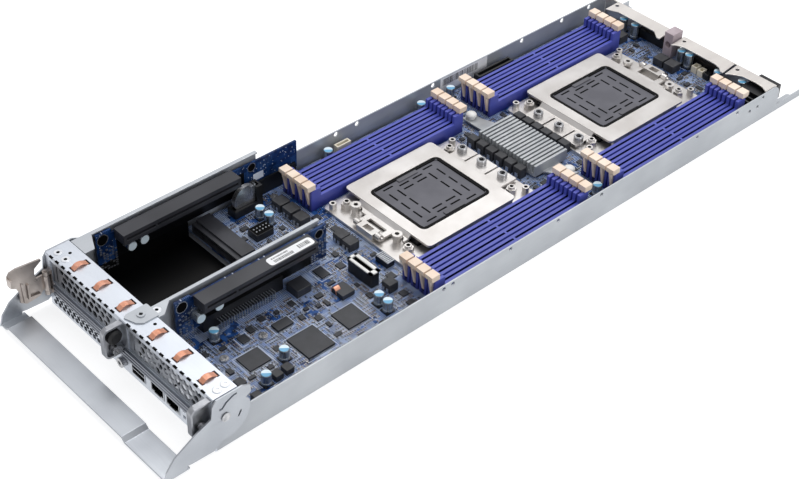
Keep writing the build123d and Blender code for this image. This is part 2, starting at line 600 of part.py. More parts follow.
def make_chips():
    """Flat packages: controllers, memory, regulators under the heat sink."""
    packs = [(38.8, 52.8, 50.0, 66.0, 1.5), (45.8, 67.4, 83.0, 103.6, 1.8), (46.4, 63.4, 118.0, 134.8, 1.6),
             (29.6, 36.8, 84.2, 96.4, 2.0), (24.4, 31.0, 61.6, 67.6, 1.0), (6.8, 16.4, 136.4, 143.2, 1.2),
             (9.4, 20.6, 112.8, 124.4, 6.0), (29.4, 40.4, 133.0, 143.0, 3.6)]
    parts = [block(x0, x1, y0, y1, BOARD, BOARD + h) for x0, x1, y0, y1, h in packs]
    for row in (317.0, 336.0):
        parts += [block(x - 3.0, x + 3.0, row, row + 6.0, BOARD, SINK_BASE[0])
                  for x in [-19 + 9.6 * i for i in range(6)]]
    return parts


def socket_strip(x0, x1, y0, y1, z1, wall=1.4, deep=5.0):
    """A plain connector shell, open at the top."""
    return block(x0, x1, y0, y1, BOARD, z1) - block(x0 + wall, x1 - wall, y0 + wall, y1 - wall, z1 - deep, z1 + 1)


def make_black_connectors():
    """Cable and card connectors with dark housings."""
    parts = [socket_strip(21.0, 43.6, 154.0, 160.4, 18.0), socket_strip(-78.6, -72.4, 364.0, 400.0, 16.4, 1.6),
             socket_strip(-48.6, -38.8, 128.0, 142.0, 12.6, 1.2, 4.0),
             socket_strip(62.0, 80.0, 488.4, 495.0, 17.0, 1.4), block(28.6, 33.0, 499.6, 506.0, BOARD, 12.4),
             socket_strip(24.6, 36.0, 174.2, 180.6, 11.6, 1.2, 2.0)]
    return parts


def make_white_connectors():
    """Small pale wire-to-board headers."""
    return [socket_strip(-79.6, -75.4, 228.6, 241.0, 15.4, 1.0),
            socket_strip(16.4, 21.2, 500.4, 506.4, 12.6, 1.0, 3.0),
            socket_strip(22.8, 27.6, 499.4, 505.4, 12.6, 1.0, 3.0)]


def make_mezzanine():
    """Long low card connector along the back of the card bay, its mouth to the front."""
    bar = block(-75.0, -26.5, 102.6, 117.0, BOARD, 16.0)
    bar -= block(-72.5, -29.0, 101, 110.0, 9.6, 13.0)
    return bar - [block(-76, -25, 101, 106, 14.4, 17)]


def make_bay_liner():
    """Black insulating sheet on the floor of the card bay."""
    bottom = block(-81.6, -7.4, 3.0, BAY_BACK - 0.6, SHEET, SHEET + 0.5)
    return bottom + block(-79.4, -78.9, 19.0, BAY_BACK - 0.6, SHEET, LINER_TOP)


def make_coin_cell():
    """Upright button cell."""
    return rod_x(143.6, 17.8, 10.0, -72.2, -69.0)


def make_cell_holder():
    """Holder that clips the button cell upright."""
    body = block(-75.0, -66.4, 132.0, 155.2, BOARD, 13.0) + block(-74.8, -66.6, 150.4, 155.2, BOARD, 25.0)
    return body - [block(-72.5, -68.7, 133.2, 154.2, 7.7, 14), rod_x(143.6, 17.8, 10.3, -72.5, -68.7),
                   block(-72.5, -68.7, 149.0, 154.0, 12.9, 26)]


def make_rear_plate():
    """Rear cross-piece: three top flanges on an upright wall that lets the guide block and the plugs through."""
    z0, z1 = WALL_HEIGHT - SHEET, WALL_HEIGHT
    y1 = REAR_PLATE
    tip, edge = y1 - 17.2, y1 - 12.0
    left = flat_cut([(-70.0, tip + 1), (-70.6, y1), (-18.4, y1), (-15.2, edge + 2.5), (-14.6, tip), (-17.4, tip),
                     (-24.0, edge), (-61.0, edge)], z0, z1)
    middle = flat_cut([(-4.2, y1), (-3.2, tip), (0.0, edge - 2.0), (6.0, edge), (34.0, edge), (40.0, edge - 1.6),
                       (44.0, tip), (46.4, tip), (44.6, y1)], z0, z1)
    right = flat_cut([(46.8, y1), (48.2, tip), (51.0, edge - 2.5), (58.4, edge + 2.0), (70.0, edge + 3.0),
                      (77.0, edge + 2.0), (PLATE_HALF, edge - 1.0), (PLATE_HALF, y1)], z0, z1)
    wall = block(-PLATE_HALF, PLATE_HALF, y1 - SHEET, y1, SHEET, z1)
    wall -= [block(GUIDE_X[0] - 0.6, GUIDE_X[1] + 0.6, y1 - 5, y1 + 5, 6, 30)]
    wall -= [block(x0 + 1.5, x1 - 1.5, y1 - 5, y1 + 5, BOARD + 1.8, PLUG_TOP - 1.2) for x0, x1 in REAR_PLUGS]
    wall -= block(POWER_X[0] - 0.4, POWER_X[1] + 0.4, y1 - 5, y1 + 5, BOARD - 0.4, 19.0)
    holes = [post_z(x, y1 - 5.6, 1.6, 20, 24, 8) for x in (-67.2, 0.1, 50.9)]
    return (wall + left + middle + right) - holes


def make_guide_block():
    """Alignment block beside the rear connectors."""
    body = block(*GUIDE_X, REAR_PLATE - 13.0, REAR_PLATE - 1.6, BOARD, GUIDE_TOP)
    return body - rod_y((GUIDE_X[0] + GUIDE_X[1]) / 2, GUIDE_Z, GUIDE_BORE, REAR_PLATE - 20, REAR_PLATE + 5)


def make_rear_connector():
    """Power plug that reaches through the rear wall, and two low signal sockets whose mouths open through it."""
    x0, x1 = POWER_X
    power = block(x0, x1, REAR_PLATE - 16.4, REAR_PLATE + 8.6, BOARD, 18.6)
    power -= [block(x0 + 1.8 + 5.2 * i, x0 + 5.6 + 5.2 * i, REAR_PLATE - 1, REAR_PLATE + 10, 10.8, 17.2)
              for i in range(3)]
    plugs = []
    for x0, x1 in REAR_PLUGS:
        plug = block(x0, x1, REAR_PLATE - 7.0, REAR_PLATE - SHEET, BOARD, PLUG_TOP)
        plugs.append(plug - block(x0 + 1.5, x1 - 1.5, REAR_PLATE - 5.0, REAR_PLATE + 1, BOARD + 1.8, PLUG_TOP - 1.2))
    return [power] + plugs


def make_usb_ports():
    """Stacked pair of shells behind the face."""
    x0, x1 = USB_X
    low, high = USB_Z
    middle = (low + high) / 2
    shell = block(x0, x1, -0.4, PORT_REAR, low, high) + block(x0, x1, PORT_REAR - 0.1, PORT_TAIL, BOARD, high)
    for z0, z1 in ((low + 0.5, middle - 0.3), (middle + 0.3, high - 0.5)):
        shell -= block(x0 + 0.6, x1 - 0.6, -1, 13, z0, z1)
        shell += block(x0 + 1.6, x1 - 1.6, 2.0, 13.2, (z0 + z1) / 2 - 0.5, (z0 + z1) / 2 + 0.5)
    return shell


def make_lan_ports():
    """Two network jacks behind the face."""
    jacks = []
    for x0, x1 in LAN_X:
        jack = block(x0, x1, -0.3, PORT_REAR, LAN_Z[0], LAN_Z[1])
        jack += block(x0, x1, PORT_REAR - 0.1, PORT_TAIL, BOARD, LAN_Z[1])
        jack -= block(x0 + 0.9, x1 - 0.9, -1, 15, LAN_Z[0] + 1.6, LAN_Z[1] - 0.8)
        jacks.append(jack - block(x0 + 3.4, x1 - 3.4, -1, 15, LAN_Z[0] + 0.5, LAN_Z[0] + 1.7))
    return jacks


def make_riser_board(x, y0, y1, notch_y, top_front, top_rear, low, plug, mirror_caps):
    """Upright riser board with its can capacitors on the face side and a tongue for its plug."""
    outline = [(y0, low), (y1, low), (y1, top_rear), (notch_y, top_rear), (notch_y, top_front), (y0, top_front)]
    board = side_cut(outline, x, x + 1.6)
    plug_y0, plug_y1, plug_top = plug
    board -= [block(x - 1, x + 3, y - 0.4, y + 2.4, 0, plug_top + 0.4) for y in (plug_y0, plug_y1 - 2.0)]
    for y, z, length in mirror_caps:
        board += post_x(y, z, 3.4, x + 1.5, x + 1.6 + length)
    holes = ((y0 + 5.5, top_front - 6.0), (y1 - 6.0, top_rear - 5.0))
    return board - [post_x(y, z, 2.1, x - 1, x + 3) for y, z in holes]


def make_slot(x0, y0, y1, z0, z1):
    """Card slot on its side, its mouth facing right."""
    slot = block(x0, x0 + 11.0, y0, y1, z0, z1)
    middle = (z0 + z1) / 2
    key = y0 + 24.0
    return slot - [block(x0 + 3, x0 + 12, y0 + 2.5, key, middle - 0.9, middle + 0.9),
                   block(x0 + 3, x0 + 12, key + 1.8, y1 - 2.5, middle - 0.9, middle + 0.9)]


def make_riser_left_bracket():
    """Left riser's carrier: upright plate inside the side wall with a turned-in top edge."""
    plate = block(-82.6, -81.6, 18.0, 162.0, 9.0, NODE_HEIGHT)
    plate += block(-82.6, -79.6, 18.0, 162.0, NODE_HEIGHT - SHEET, NODE_HEIGHT)
    plate += flat_cut([(-82.6, 17.8), (-67.0, 17.8), (-67.0, 25.0), (-79.6, 31.0), (-82.6, 31.0)],
                      NODE_HEIGHT - SHEET, NODE_HEIGHT)
    studs = [post_x(y, z, 3.1, -81.7, -79.6) for y, z in ((38.5, 33.5), (157.0, 31.5))]
    return plate + studs


def make_riser_centre_bracket():
    """Centre riser's carrier: dividing plate across the bay with a tab over the top plate."""
    plate = block(-1.0, 0.0, 18.0, 147.0, 10.0, NODE_HEIGHT)
    plate += block(-1.0, 1.4, 18.0, 147.0, NODE_HEIGHT - SHEET, NODE_HEIGHT)
    plate += flat_cut([(-1.0, 17.8), (9.4, 17.8), (9.4, 22.0), (1.4, 31.0), (-1.0, 31.0)],
                      NODE_HEIGHT - SHEET, NODE_HEIGHT)
    plate += flat_cut([(-4.4, 4.0), (-2.8, 1.6), (5.6, 4.4), (8.6, 8.0), (8.6, 19.0), (-4.4, 19.0)],
                      NODE_HEIGHT, NODE_HEIGHT + SHEET, 1.0)
    studs = [post_x(y, z, 3.1, -0.1, 3.0) for y, z in ((38.5, 33.0), (141.0, 33.0))]
    screw = screw_head(1.8, 10.7, NODE_HEIGHT + SHEET, 2.6, 0.8)
    return plate + studs + screw


def make_riser_plug(x0, x1, y0, y1, z1):
    """Board connector that a riser's lower edge drops into."""
    middle = (x0 + x1) / 2
    return block(x0, x1, y0, y1, BOARD, z1) - block(middle - 1.0, middle + 1.0, y0 + 2, y1 - 2, BOARD + 1.5, z1 + 1)


def save(name, shape):
    """Write one node, moved so that the origin is the middle of the tray's underside."""
    solids = []
    for piece in (shape if isinstance(shape, list) else [shape]):
        solids += piece.solids()
    moved = [Pos(0, -LENGTH / 2, 0) * s for s in solids]
    export_step(moved[0] if len(moved) == 1 else Compound(children=moved), f"parts/{name}.step")


def main():
    os.makedirs("parts", exist_ok=True)
    save("tray", make_tray())
    save("front_panel", make_front_panel())
    save("slot_covers", make_slot_covers())
    save("mid_rail", make_mid_rail())
    save("emi_fingers", make_emi_fingers())
    save("panel_screws", make_panel_screws())
    save("bracket_ears", [make_ear(CENTRE_EAR), make_ear(RIGHT_EAR)])
    save("ear_pad", make_ear_pad())
    save("ear_centre_screw", make_turn_screw(CENTRE_EAR, *EAR_SCREW))
    save("ear_right_screw", make_turn_screw(RIGHT_EAR, *EAR_SCREW))
    save("panel_captive_screw", make_panel_screw())
    save("handle", make_handle())
    save("handle_pins", make_handle_pins())
    save("latch_hinge", make_latch_hinge())
    save("latch_lever", make_latch_lever())
    save("mainboard", make_mainboard())
    save("board_standoffs", make_standoffs())
    save("board_screws", make_board_screws())
    banks = {"dimm_front_left": (DIMM_LEFT, DIMM_FRONT), "dimm_front_right": (DIMM_RIGHT, DIMM_FRONT),
             "dimm_rear_left": (DIMM_LEFT, DIMM_REAR), "dimm_rear_right": (DIMM_RIGHT, DIMM_REAR)}
    for name, (x0, y) in banks.items():
        save(name, [make_dimm(x0 + i * DIMM_PITCH, y) for i in range(4)])
    for row, y in (("front", DIMM_FRONT), ("rear", DIMM_REAR)):
        save(f"latches_{row}_near", make_latches(y, -1))
        save(f"latches_{row}_far", make_latches(y, 1))
    for row, place in (("front", socket_place(CPU_FRONT, False)), ("rear", socket_place(CPU_REAR, True))):
        save(f"cpu_base_{row}", [place * s for s in make_cpu_base()])
        save(f"cpu_housing_{row}", place * make_cpu_housing())
        save(f"force_frame_{row}", place * make_force_frame())
        save(f"frame_screws_{row}", [place * s for s in make_frame_screws()])
        save(f"cpu_cap_{row}", place * make_cpu_cap())
    save("vrm_heatsink", make_heatsink())
    save("push_pins", make_push_pins())
    save("chokes", make_chokes())
    save("capacitors", make_capacitors())
    save("chips", make_chips())
    save("black_connectors", make_black_connectors())
    save("white_connectors", make_white_connectors())
    save("mezzanine_connector", make_mezzanine())
    save("bay_liner", make_bay_liner())
    save("coin_cell", make_coin_cell())
    save("coin_cell_holder", make_cell_holder())
    save("rear_plate", make_rear_plate())
    save("guide_block", make_guide_block())
    save("rear_connector", make_rear_connector())
    save("usb_ports", make_usb_ports())
    save("lan_ports", make_lan_ports())
    left_plug = (150.0, 192.0, 19.4)
    left_caps = [(54.0, 24.5, 5.0), (63.4, 25.0, 5.0)]
    save("riser_left_board", make_riser_board(-79.6, 32.6, 194.0, 44.0, 39.4, 36.2, 15.0, left_plug, left_caps))
    save("riser_left_slot", make_slot(-78.0, 46.0, 138.4, 31.4, 39.0))
    save("riser_left_bracket", make_riser_left_bracket())
    save("riser_left_plug", make_riser_plug(-81.2, -76.4, *left_plug))
    centre_plug = (50.0, 112.0, 18.6)
    centre_caps = [(45.2, 25.6, 8.0), (61.2, 24.4, 5.0)]
    save("riser_centre_board", make_riser_board(3.0, 32.6, 150.0, 44.0, 39.2, 38.0, 12.0, centre_plug, centre_caps))
    save("riser_centre_slot", make_slot(4.6, 46.0, 134.6, 30.8, 38.4))
    save("riser_centre_bracket", make_riser_centre_bracket())
    save("riser_centre_plug", make_riser_plug(0.3, 7.3, *centre_plug))


main()
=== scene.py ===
# %% [markdown]
# # Dressing a server node tray
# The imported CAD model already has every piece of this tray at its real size. This lesson gives each piece
# the finish of the real material and adds what is too fine for CAD: the small parts soldered to the board,
# printed outlines, pins, slits and labels. Everything is measured in millimetres from the middle of the
# tray's front face (X to the right, Y to the rear, Z up) and turned into metres only when a mesh is made.

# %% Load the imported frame
import math

import bmesh
import bpy
import numpy as np
from mathutils import Matrix


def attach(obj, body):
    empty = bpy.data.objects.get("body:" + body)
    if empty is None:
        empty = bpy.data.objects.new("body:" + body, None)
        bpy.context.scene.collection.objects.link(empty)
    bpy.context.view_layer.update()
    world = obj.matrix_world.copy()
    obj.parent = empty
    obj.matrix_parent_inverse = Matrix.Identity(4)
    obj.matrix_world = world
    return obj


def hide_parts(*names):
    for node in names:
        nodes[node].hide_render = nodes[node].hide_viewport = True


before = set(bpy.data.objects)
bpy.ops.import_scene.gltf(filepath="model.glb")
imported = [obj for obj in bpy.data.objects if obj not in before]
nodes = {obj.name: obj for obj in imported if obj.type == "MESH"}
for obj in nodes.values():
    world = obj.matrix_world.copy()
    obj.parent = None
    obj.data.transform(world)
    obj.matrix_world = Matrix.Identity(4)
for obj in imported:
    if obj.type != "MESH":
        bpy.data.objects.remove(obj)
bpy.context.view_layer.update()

FACE_TO_ORIGIN = 280.0
BOARD_TOP = 7.2
print("CAD nodes:", len(nodes))

# %% [markdown]
# ## The camera comes first
# The photograph was taken from the front right, 39 degrees above the tray. Setting the camera before any
# looks means that each later choice can be compared with the photograph at once. The three directions below
# are the camera's own right, up and back, found by fitting the tray's edges and the rows of sockets.

# %% Camera
PHOTO_WIDTH = 799
FOCAL_PIXELS = 1595.0
SENSOR = 36.0
camera_data = bpy.data.cameras.new("camera")
camera_data.sensor_width = SENSOR
camera_data.lens = SENSOR * FOCAL_PIXELS / PHOTO_WIDTH
camera_data.shift_x = 0.0141
camera_data.shift_y = -0.0131
camera_data.dof.use_dof = False
camera = bpy.data.objects.new("camera", camera_data)
bpy.context.scene.collection.objects.link(camera)
turn = np.eye(4)
turn[:3, 0] = 0.6711, 0.7411, 0.0192
turn[:3, 1] = -0.4791, 0.4138, 0.7741
turn[:3, 2] = 0.5658, -0.5287, 0.6328
turn[:3, 3] = 0.6007, -0.6334, 0.6719
camera.matrix_world = Matrix(turn.tolist())
bpy.context.scene.camera = camera
bpy.context.scene.view_settings.view_transform = "Standard"
print("lens", round(camera_data.lens, 2), "mm")

# %% [markdown]
# ## Small tools for finishes
# One function turns a web colour into the linear numbers that shaders use. One fills in a shader node, and
# one adds a node and fills it in. Each material starts from its place on the object in millimetres, so a
# pattern of 0.6 really is 0.6 mm wide. Three more hold what several finishes share: a colour that wanders
# between two near tones, because no real surface is quite even, a fine relief, and a mask.

# %% Helpers for colours and nodes
def linear(code):
    """sRGB hex to linear RGBA: c becomes c / 12.92 below 0.04045, else ((c + 0.055) / 1.055) ^ 2.4."""
    c = np.array([int(code[i:i + 2], 16) for i in (1, 3, 5)]) / 255
    c = np.where(c <= 0.04045, c / 12.92, ((c + 0.055) / 1.055) ** 2.4)
    return (*c.tolist(), 1.0)


def give(tree, node, given):
    """Fill in a node. A lower-case key is a setting, and any other key is an input.

    A socket is linked to its input, and a value is set.
    """
    for key, value in given.items():
        if isinstance(value, str) and value.startswith("#"):
            value = linear(value)
        if isinstance(key, str) and key[0].islower():
            setattr(node, key, value)
        elif isinstance(value, bpy.types.NodeSocket):
            tree.links.new(value, node.inputs[key])
        else:
            node.inputs[key].default_value = value


def add(tree, kind, given):
    """Add one shader node with its settings and links, and give back its outputs."""
    node = tree.nodes.new("ShaderNode" + kind)
    give(tree, node, given)
    return node.outputs


def new_material(name):
    """An empty material with its shader, and the place on the object in millimetres."""
    material = bpy.data.materials.new(name)
    material.use_nodes = True
    tree = material.node_tree
    place = add(tree, "TexCoord", {})["Object"]
    mm = add(tree, "VectorMath", {"operation": "SCALE", 0: place, "Scale": 1000.0})[0]
    return material, tree, tree.nodes["Principled BSDF"], mm


def two_tones(tree, mm, size_mm, first, second, top=0.65):
    """Colour that wanders between two tones, by noise whose clouds are about size_mm across."""
    clouds = add(tree, "TexNoise", {"Vector": mm, "Scale": 1 / size_mm, "Detail": 2.0})["Fac"]
    share = add(tree, "MapRange", {"Value": clouds, "From Min": 0.35, "From Max": top})[0]
    return add(tree, "Mix", {"data_type": "RGBA", 0: share, 6: first, 7: second})[2]


def fine_relief(tree, mm, grain_mm, depth_mm, strength):
    """Shallow bumps about grain_mm across and depth_mm deep."""
    texture = add(tree, "TexNoise", {"Vector": mm, "Scale": 1 / grain_mm, "Detail": 1.0})["Fac"]
    return add(tree, "Bump", {"Height": texture, "Distance": depth_mm * 0.001, "Strength": strength})[0]


def where(tree, *tests):
    """1 where every test of a value against its limit holds and 0 elsewhere: the results are multiplied."""
    every = 1.0
    for operation, value, limit in tests:
        test = add(tree, "Math", {"operation": operation, 0: value, 1: limit})[0]
        every = add(tree, "Math", {"operation": "MULTIPLY", 0: every, 1: test})[0]
    return every


# %% [markdown]
# ## Sheet metal
# The tray, its face and the card carriers are zinc-plated steel: a pale blue-grey skin with a soft sheen,
# faint rolling lines along the sheet and slight cloudiness where the plating varies. A metallic shader with
# broad roughness gives the sheen. The rolling lines are noise stretched along one axis, drawn about 0.6 mm
# apart, which is coarser than the real ones so that they show.

# %% Zinc-plated steel
ROLLING_PITCH = 0.6


def plated_steel(name, pale, dark, roughness, grain=(1.0, 0.03, 1.0), cloud=38.0, metal=0.9):
    """Plated sheet: two close colours mixed by clouds, and roughness varied by stretched grain."""
    material, tree, shader, mm = new_material(name)
    tone = two_tones(tree, mm, cloud, dark, pale, 0.7)
    stretched = add(tree, "VectorMath", {"operation": "MULTIPLY", 0: mm, 1: grain})[0]
    lines = add(tree, "TexNoise", {"Vector": stretched, "Scale": 1 / ROLLING_PITCH, "Detail": 2.0})["Fac"]
    gloss = add(tree, "MapRange", {"Value": lines, "From Min": 0.3, "From Max": 0.7,
                                   "To Min": roughness - 0.06, "To Max": roughness + 0.08})[0]
    relief = add(tree, "Bump", {"Height": lines, "Distance": 0.00001, "Strength": 0.25})[0]
    give(tree, shader, {"Base Color": tone, "Roughness": gloss, "Metallic": metal, "Normal": relief})
    return material


ACROSS, ALL_ROUND = (0.03, 1.0, 1.0), (1.0, 1.0, 1.0)
# plated steel of the tray: grey, soft, little mirror
zinc_wall = plated_steel("zinc_plated_tray", "#C2C6CA", "#B3B7BC", 0.50, metal=0.62)
# the same sheet, painted paler than the walls: a painted highlight where the light falls on the flat top
zinc_face_painted_light = plated_steel("zinc_plated_face_painted_highlight", "#DCE1E8", "#D0D5DD", 0.42, ACROSS)
zinc_blank = plated_steel("zinc_plated_blank", "#A5A8AE", "#94979D", 0.45, ACROSS)
handle_zinc = plated_steel("zinc_plated_handle", "#C0C4C9", "#B0B4BA", 0.42, ACROSS, 30.0)
ear_zinc = plated_steel("zinc_plated_ear", "#B4B6BA", "#9D9FA4", 0.38, (1.0, 0.2, 0.2), 10.0)
# nickel over stamped steel: warmer than zinc
warm_nickel = plated_steel("nickel_plated_lever", "#C6BDB7", "#A9A09A", 0.33, (1.0, 0.2, 0.2), 14.0)
rear_nickel = plated_steel("nickel_plated_rear", "#E6E2DD", "#D9D4CF", 0.40)
frame_nickel = plated_steel("nickel_plated_clamp", "#E0DDDA", "#CDC9C5", 0.34, (0.5, 0.5, 1.0), 22.0)
# small turned pieces: bright, no direction in the grain
bright_screw = plated_steel("zinc_plated_screw", "#CDCDCE", "#A3A4A7", 0.25, ALL_ROUND, 3.0)
rivet_zinc = plated_steel("bright_zinc_rivet", "#F4F6F9", "#E2E5EA", 0.36, ALL_ROUND, 3.0, 0.5)
rail_zinc = plated_steel("ribbed_zinc_rail", "#9EA2AA", "#8B8F98", 0.38, ACROSS)
print("plated sheets and screws: 11")

# %% [markdown]
# ## Copper, aluminium and tin
# The contact springs are a bright copper alloy, rolled across their width. The heat sink is extruded
# aluminium with a milled top. The same clouded metal gives them all, with another colour, grain and
# roughness.

# %% Other metals
spring_copper = plated_steel("copper_alloy_spring", "#F2B59B", "#E09C7D", 0.36, (0.1, 1.0, 1.0), 6.0, 0.75)
sink_aluminium = plated_steel("extruded_aluminium", "#BDC0C2", "#A9ADB0", 0.40, (1.0, 0.05, 1.0), 12.0, 0.45)
can_aluminium = plated_steel("drawn_aluminium_can", "#AFB6BD", "#939BA3", 0.28, (1.0, 1.0, 0.1), 4.0)
cell_steel = plated_steel("nickel_plated_cell", "#C4C5C6", "#A6A7A9", 0.30, ALL_ROUND, 8.0)
tin = plated_steel("bright_tin_solder", "#D3D6DB", "#B8BCC3", 0.28, ALL_ROUND, 3.0)
print("other metals: 5")

# %% [markdown]
# ## Moulded plastics
# Sockets, latches, caps and connectors are injection moulded. A moulded surface has a fine, even texture
# and a slight change of shade where the melt flowed, so each plastic mixes two near colours and gets a
# shallow bump. Paper, ink and fired ceramic are built the same way, with a finer grain.

# %% Moulded plastics
def moulded(name, colour, shade, roughness, grain=0.35, depth_mm=0.012, flow=16.0, mirror=0.5):
    """Injection-moulded plastic: flow marks between two shades and a fine spark-eroded texture."""
    material, tree, shader, mm = new_material(name)
    give(tree, shader, {"Base Color": two_tones(tree, mm, flow, shade, colour), "Roughness": roughness,
                        "Specular IOR Level": mirror, "Normal": fine_relief(tree, mm, grain, depth_mm, 0.5)})
    return material


latch_plastic = moulded("ivory_nylon_latch", "#F5E4D2", "#E9D2BC", 0.42)
black_plastic = moulded("black_glass_filled_nylon", "#17181B", "#0E0F11", 0.38)
connector_plastic = moulded("charcoal_card_connector", "#3B3C42", "#2C2D32", 0.40)
slot_plastic = moulded("dark_card_slot_plastic", "#3A3B40", "#2B2C31", 0.34, flow=40.0)
pale_plastic = moulded("cream_header_plastic", "#E9E3D2", "#DAD2BE", 0.40)
white_pin = moulded("white_nylon_pin", "#EDEDEA", "#DCDCD8", 0.35)
pad_rubber = moulded("black_rubber_pad", "#141416", "#0C0C0E", 0.55, 0.5, 0.03)
liner_film = moulded("black_polyester_liner", "#040405", "#020203", 0.42, 2.5, 0.02, 30.0, mirror=0.18)
guide_plastic = moulded("pinkish_grey_guide", "#BBADB2", "#A99BA1", 0.45)
ferrite = moulded("pressed_ferrite_choke", "#37383C", "#28292C", 0.50, 0.3, 0.03, 4.0)
epoxy = moulded("moulded_epoxy_chip", "#2E3036", "#25272C", 0.40, 0.2, 0.01, 9.0)
recess_black = moulded("shadowed_recess", "#040405", "#020203", 0.75, mirror=0.1)
label_paper = moulded("printed_label_paper", "#F1F2F3", "#E9EAEC", 0.45)
white_ink = moulded("white_print_ink", "#D5DDEA", "#C3CCDC", 0.50)
label_ink = moulded("black_print_ink", "#1A1A1C", "#111113", 0.50)
tan_ceramic = moulded("fired_ceramic_capacitor", "#7C6A5A", "#5C4D40", 0.45, 0.2, 0.01, 3.0)
dark_glaze = moulded("fired_glass_resistor", "#16181C", "#24272D", 0.40, 0.2, 0.01, 3.0)
can_pale = moulded("pale_printed_can_top", "#E3F1F8", "#D5E8F2", 0.35)
can_blue = moulded("blue_printed_can_top", "#6FB2D8", "#5FA0C8", 0.35)
cap_tab_grey = moulded("grey_moulded_tab", "#5A5A60", "#505056", 0.42)
print("moulded plastics, paper and ceramics: 20")

# %% [markdown]
# ## Memory sockets
# The sockets are moulded in a deep violet blue. Their top edges look paler, because the light catches the
# satin surface, and the contact slot down the middle is nearly black inside. Both are painted: the colour
# grows paler with height, darker low down as painted shade and paler at the top edges as a painted highlight,
# and the slot walls are painted near black as painted shade. The X position folded to one socket pitch finds
# the slot, and height tells its walls from the top edge.

# %% Blue sockets
SOCKET_PITCH = 7.84
SLOT_HALF = 0.85
SOCKET_TOP = 17.3
# heights over which the painted shade low down turns into the painted highlight at the top
PAINTED_LIGHT_FROM, PAINTED_LIGHT_TO = 8.0, 17.4


def socket_blue(name, first_x):
    """Blue moulding with painted shade in the slots and a painted highlight towards the top: x is folded to
    one pitch and compared with the slot's half width.
    """
    material, tree, shader, mm = new_material(name)
    axes = add(tree, "SeparateXYZ", {0: mm})
    across = add(tree, "Math", {"operation": "SUBTRACT", 0: axes[0], 1: first_x - SOCKET_PITCH / 2})[0]
    folded = add(tree, "Math", {"operation": "FLOORED_MODULO", 0: across, 1: SOCKET_PITCH})[0]
    centred = add(tree, "Math", {"operation": "SUBTRACT", 0: folded, 1: SOCKET_PITCH / 2})[0]
    offset = add(tree, "Math", {"operation": "ABSOLUTE", 0: centred})[0]
    # painted shade: the slot walls below the top edge are near black
    dark = where(tree, ("LESS_THAN", offset, SLOT_HALF), ("LESS_THAN", axes[2], SOCKET_TOP))
    # painted light: darker low down as painted shade, paler towards the top edges as a painted highlight
    height = add(tree, "MapRange", {"Value": axes[2], "From Min": PAINTED_LIGHT_FROM, "From Max": PAINTED_LIGHT_TO})[0]
    body = add(tree, "Mix", {"data_type": "RGBA", 0: height, 6: "#1E2676", 7: "#515AB4"})[2]
    flow_marks = add(tree, "TexNoise", {"Vector": mm, "Scale": 1 / 20.0, "Detail": 2.0})["Fac"]
    share = add(tree, "MapRange", {"Value": flow_marks, "From Min": 0.3, "From Max": 0.8, "To Max": 0.35})[0]
    body = add(tree, "Mix", {"data_type": "RGBA", 0: share, 6: body, 7: "#343B98"})[2]
    tone = add(tree, "Mix", {"data_type": "RGBA", 0: dark, 6: body, 7: "#080A40"})[2]
    relief = fine_relief(tree, mm, 0.4, 0.012, 0.4)
    give(tree, shader, {"Base Color": tone, "Roughness": 0.34, "Normal": relief})
    return material


left_blue = socket_blue("blue_nylon_socket_left", -66.9)
right_blue = socket_blue("blue_nylon_socket_right", 52.2)

# %% [markdown]
# ## Circuit boards
# Solder mask is a thin coloured lacquer over copper. From above it shows copper tracks under the lacquer as
# paler lines, and holes and pads as bright dots. Tracks run in bundles, all one way inside a bundle, so a
# Voronoi pattern cuts the board into cells, each cell picks a direction, and stripes 1.2 mm apart are drawn
# along it. Real tracks are finer, but would not show from here. On the risers the stretch behind the card
# slot is covered by black film.

# %% Solder mask
BUNDLE, TRACK_PITCH, TRACK_WIDE, DOT_PITCH = 9.0, 1.2, 0.42, 1.8


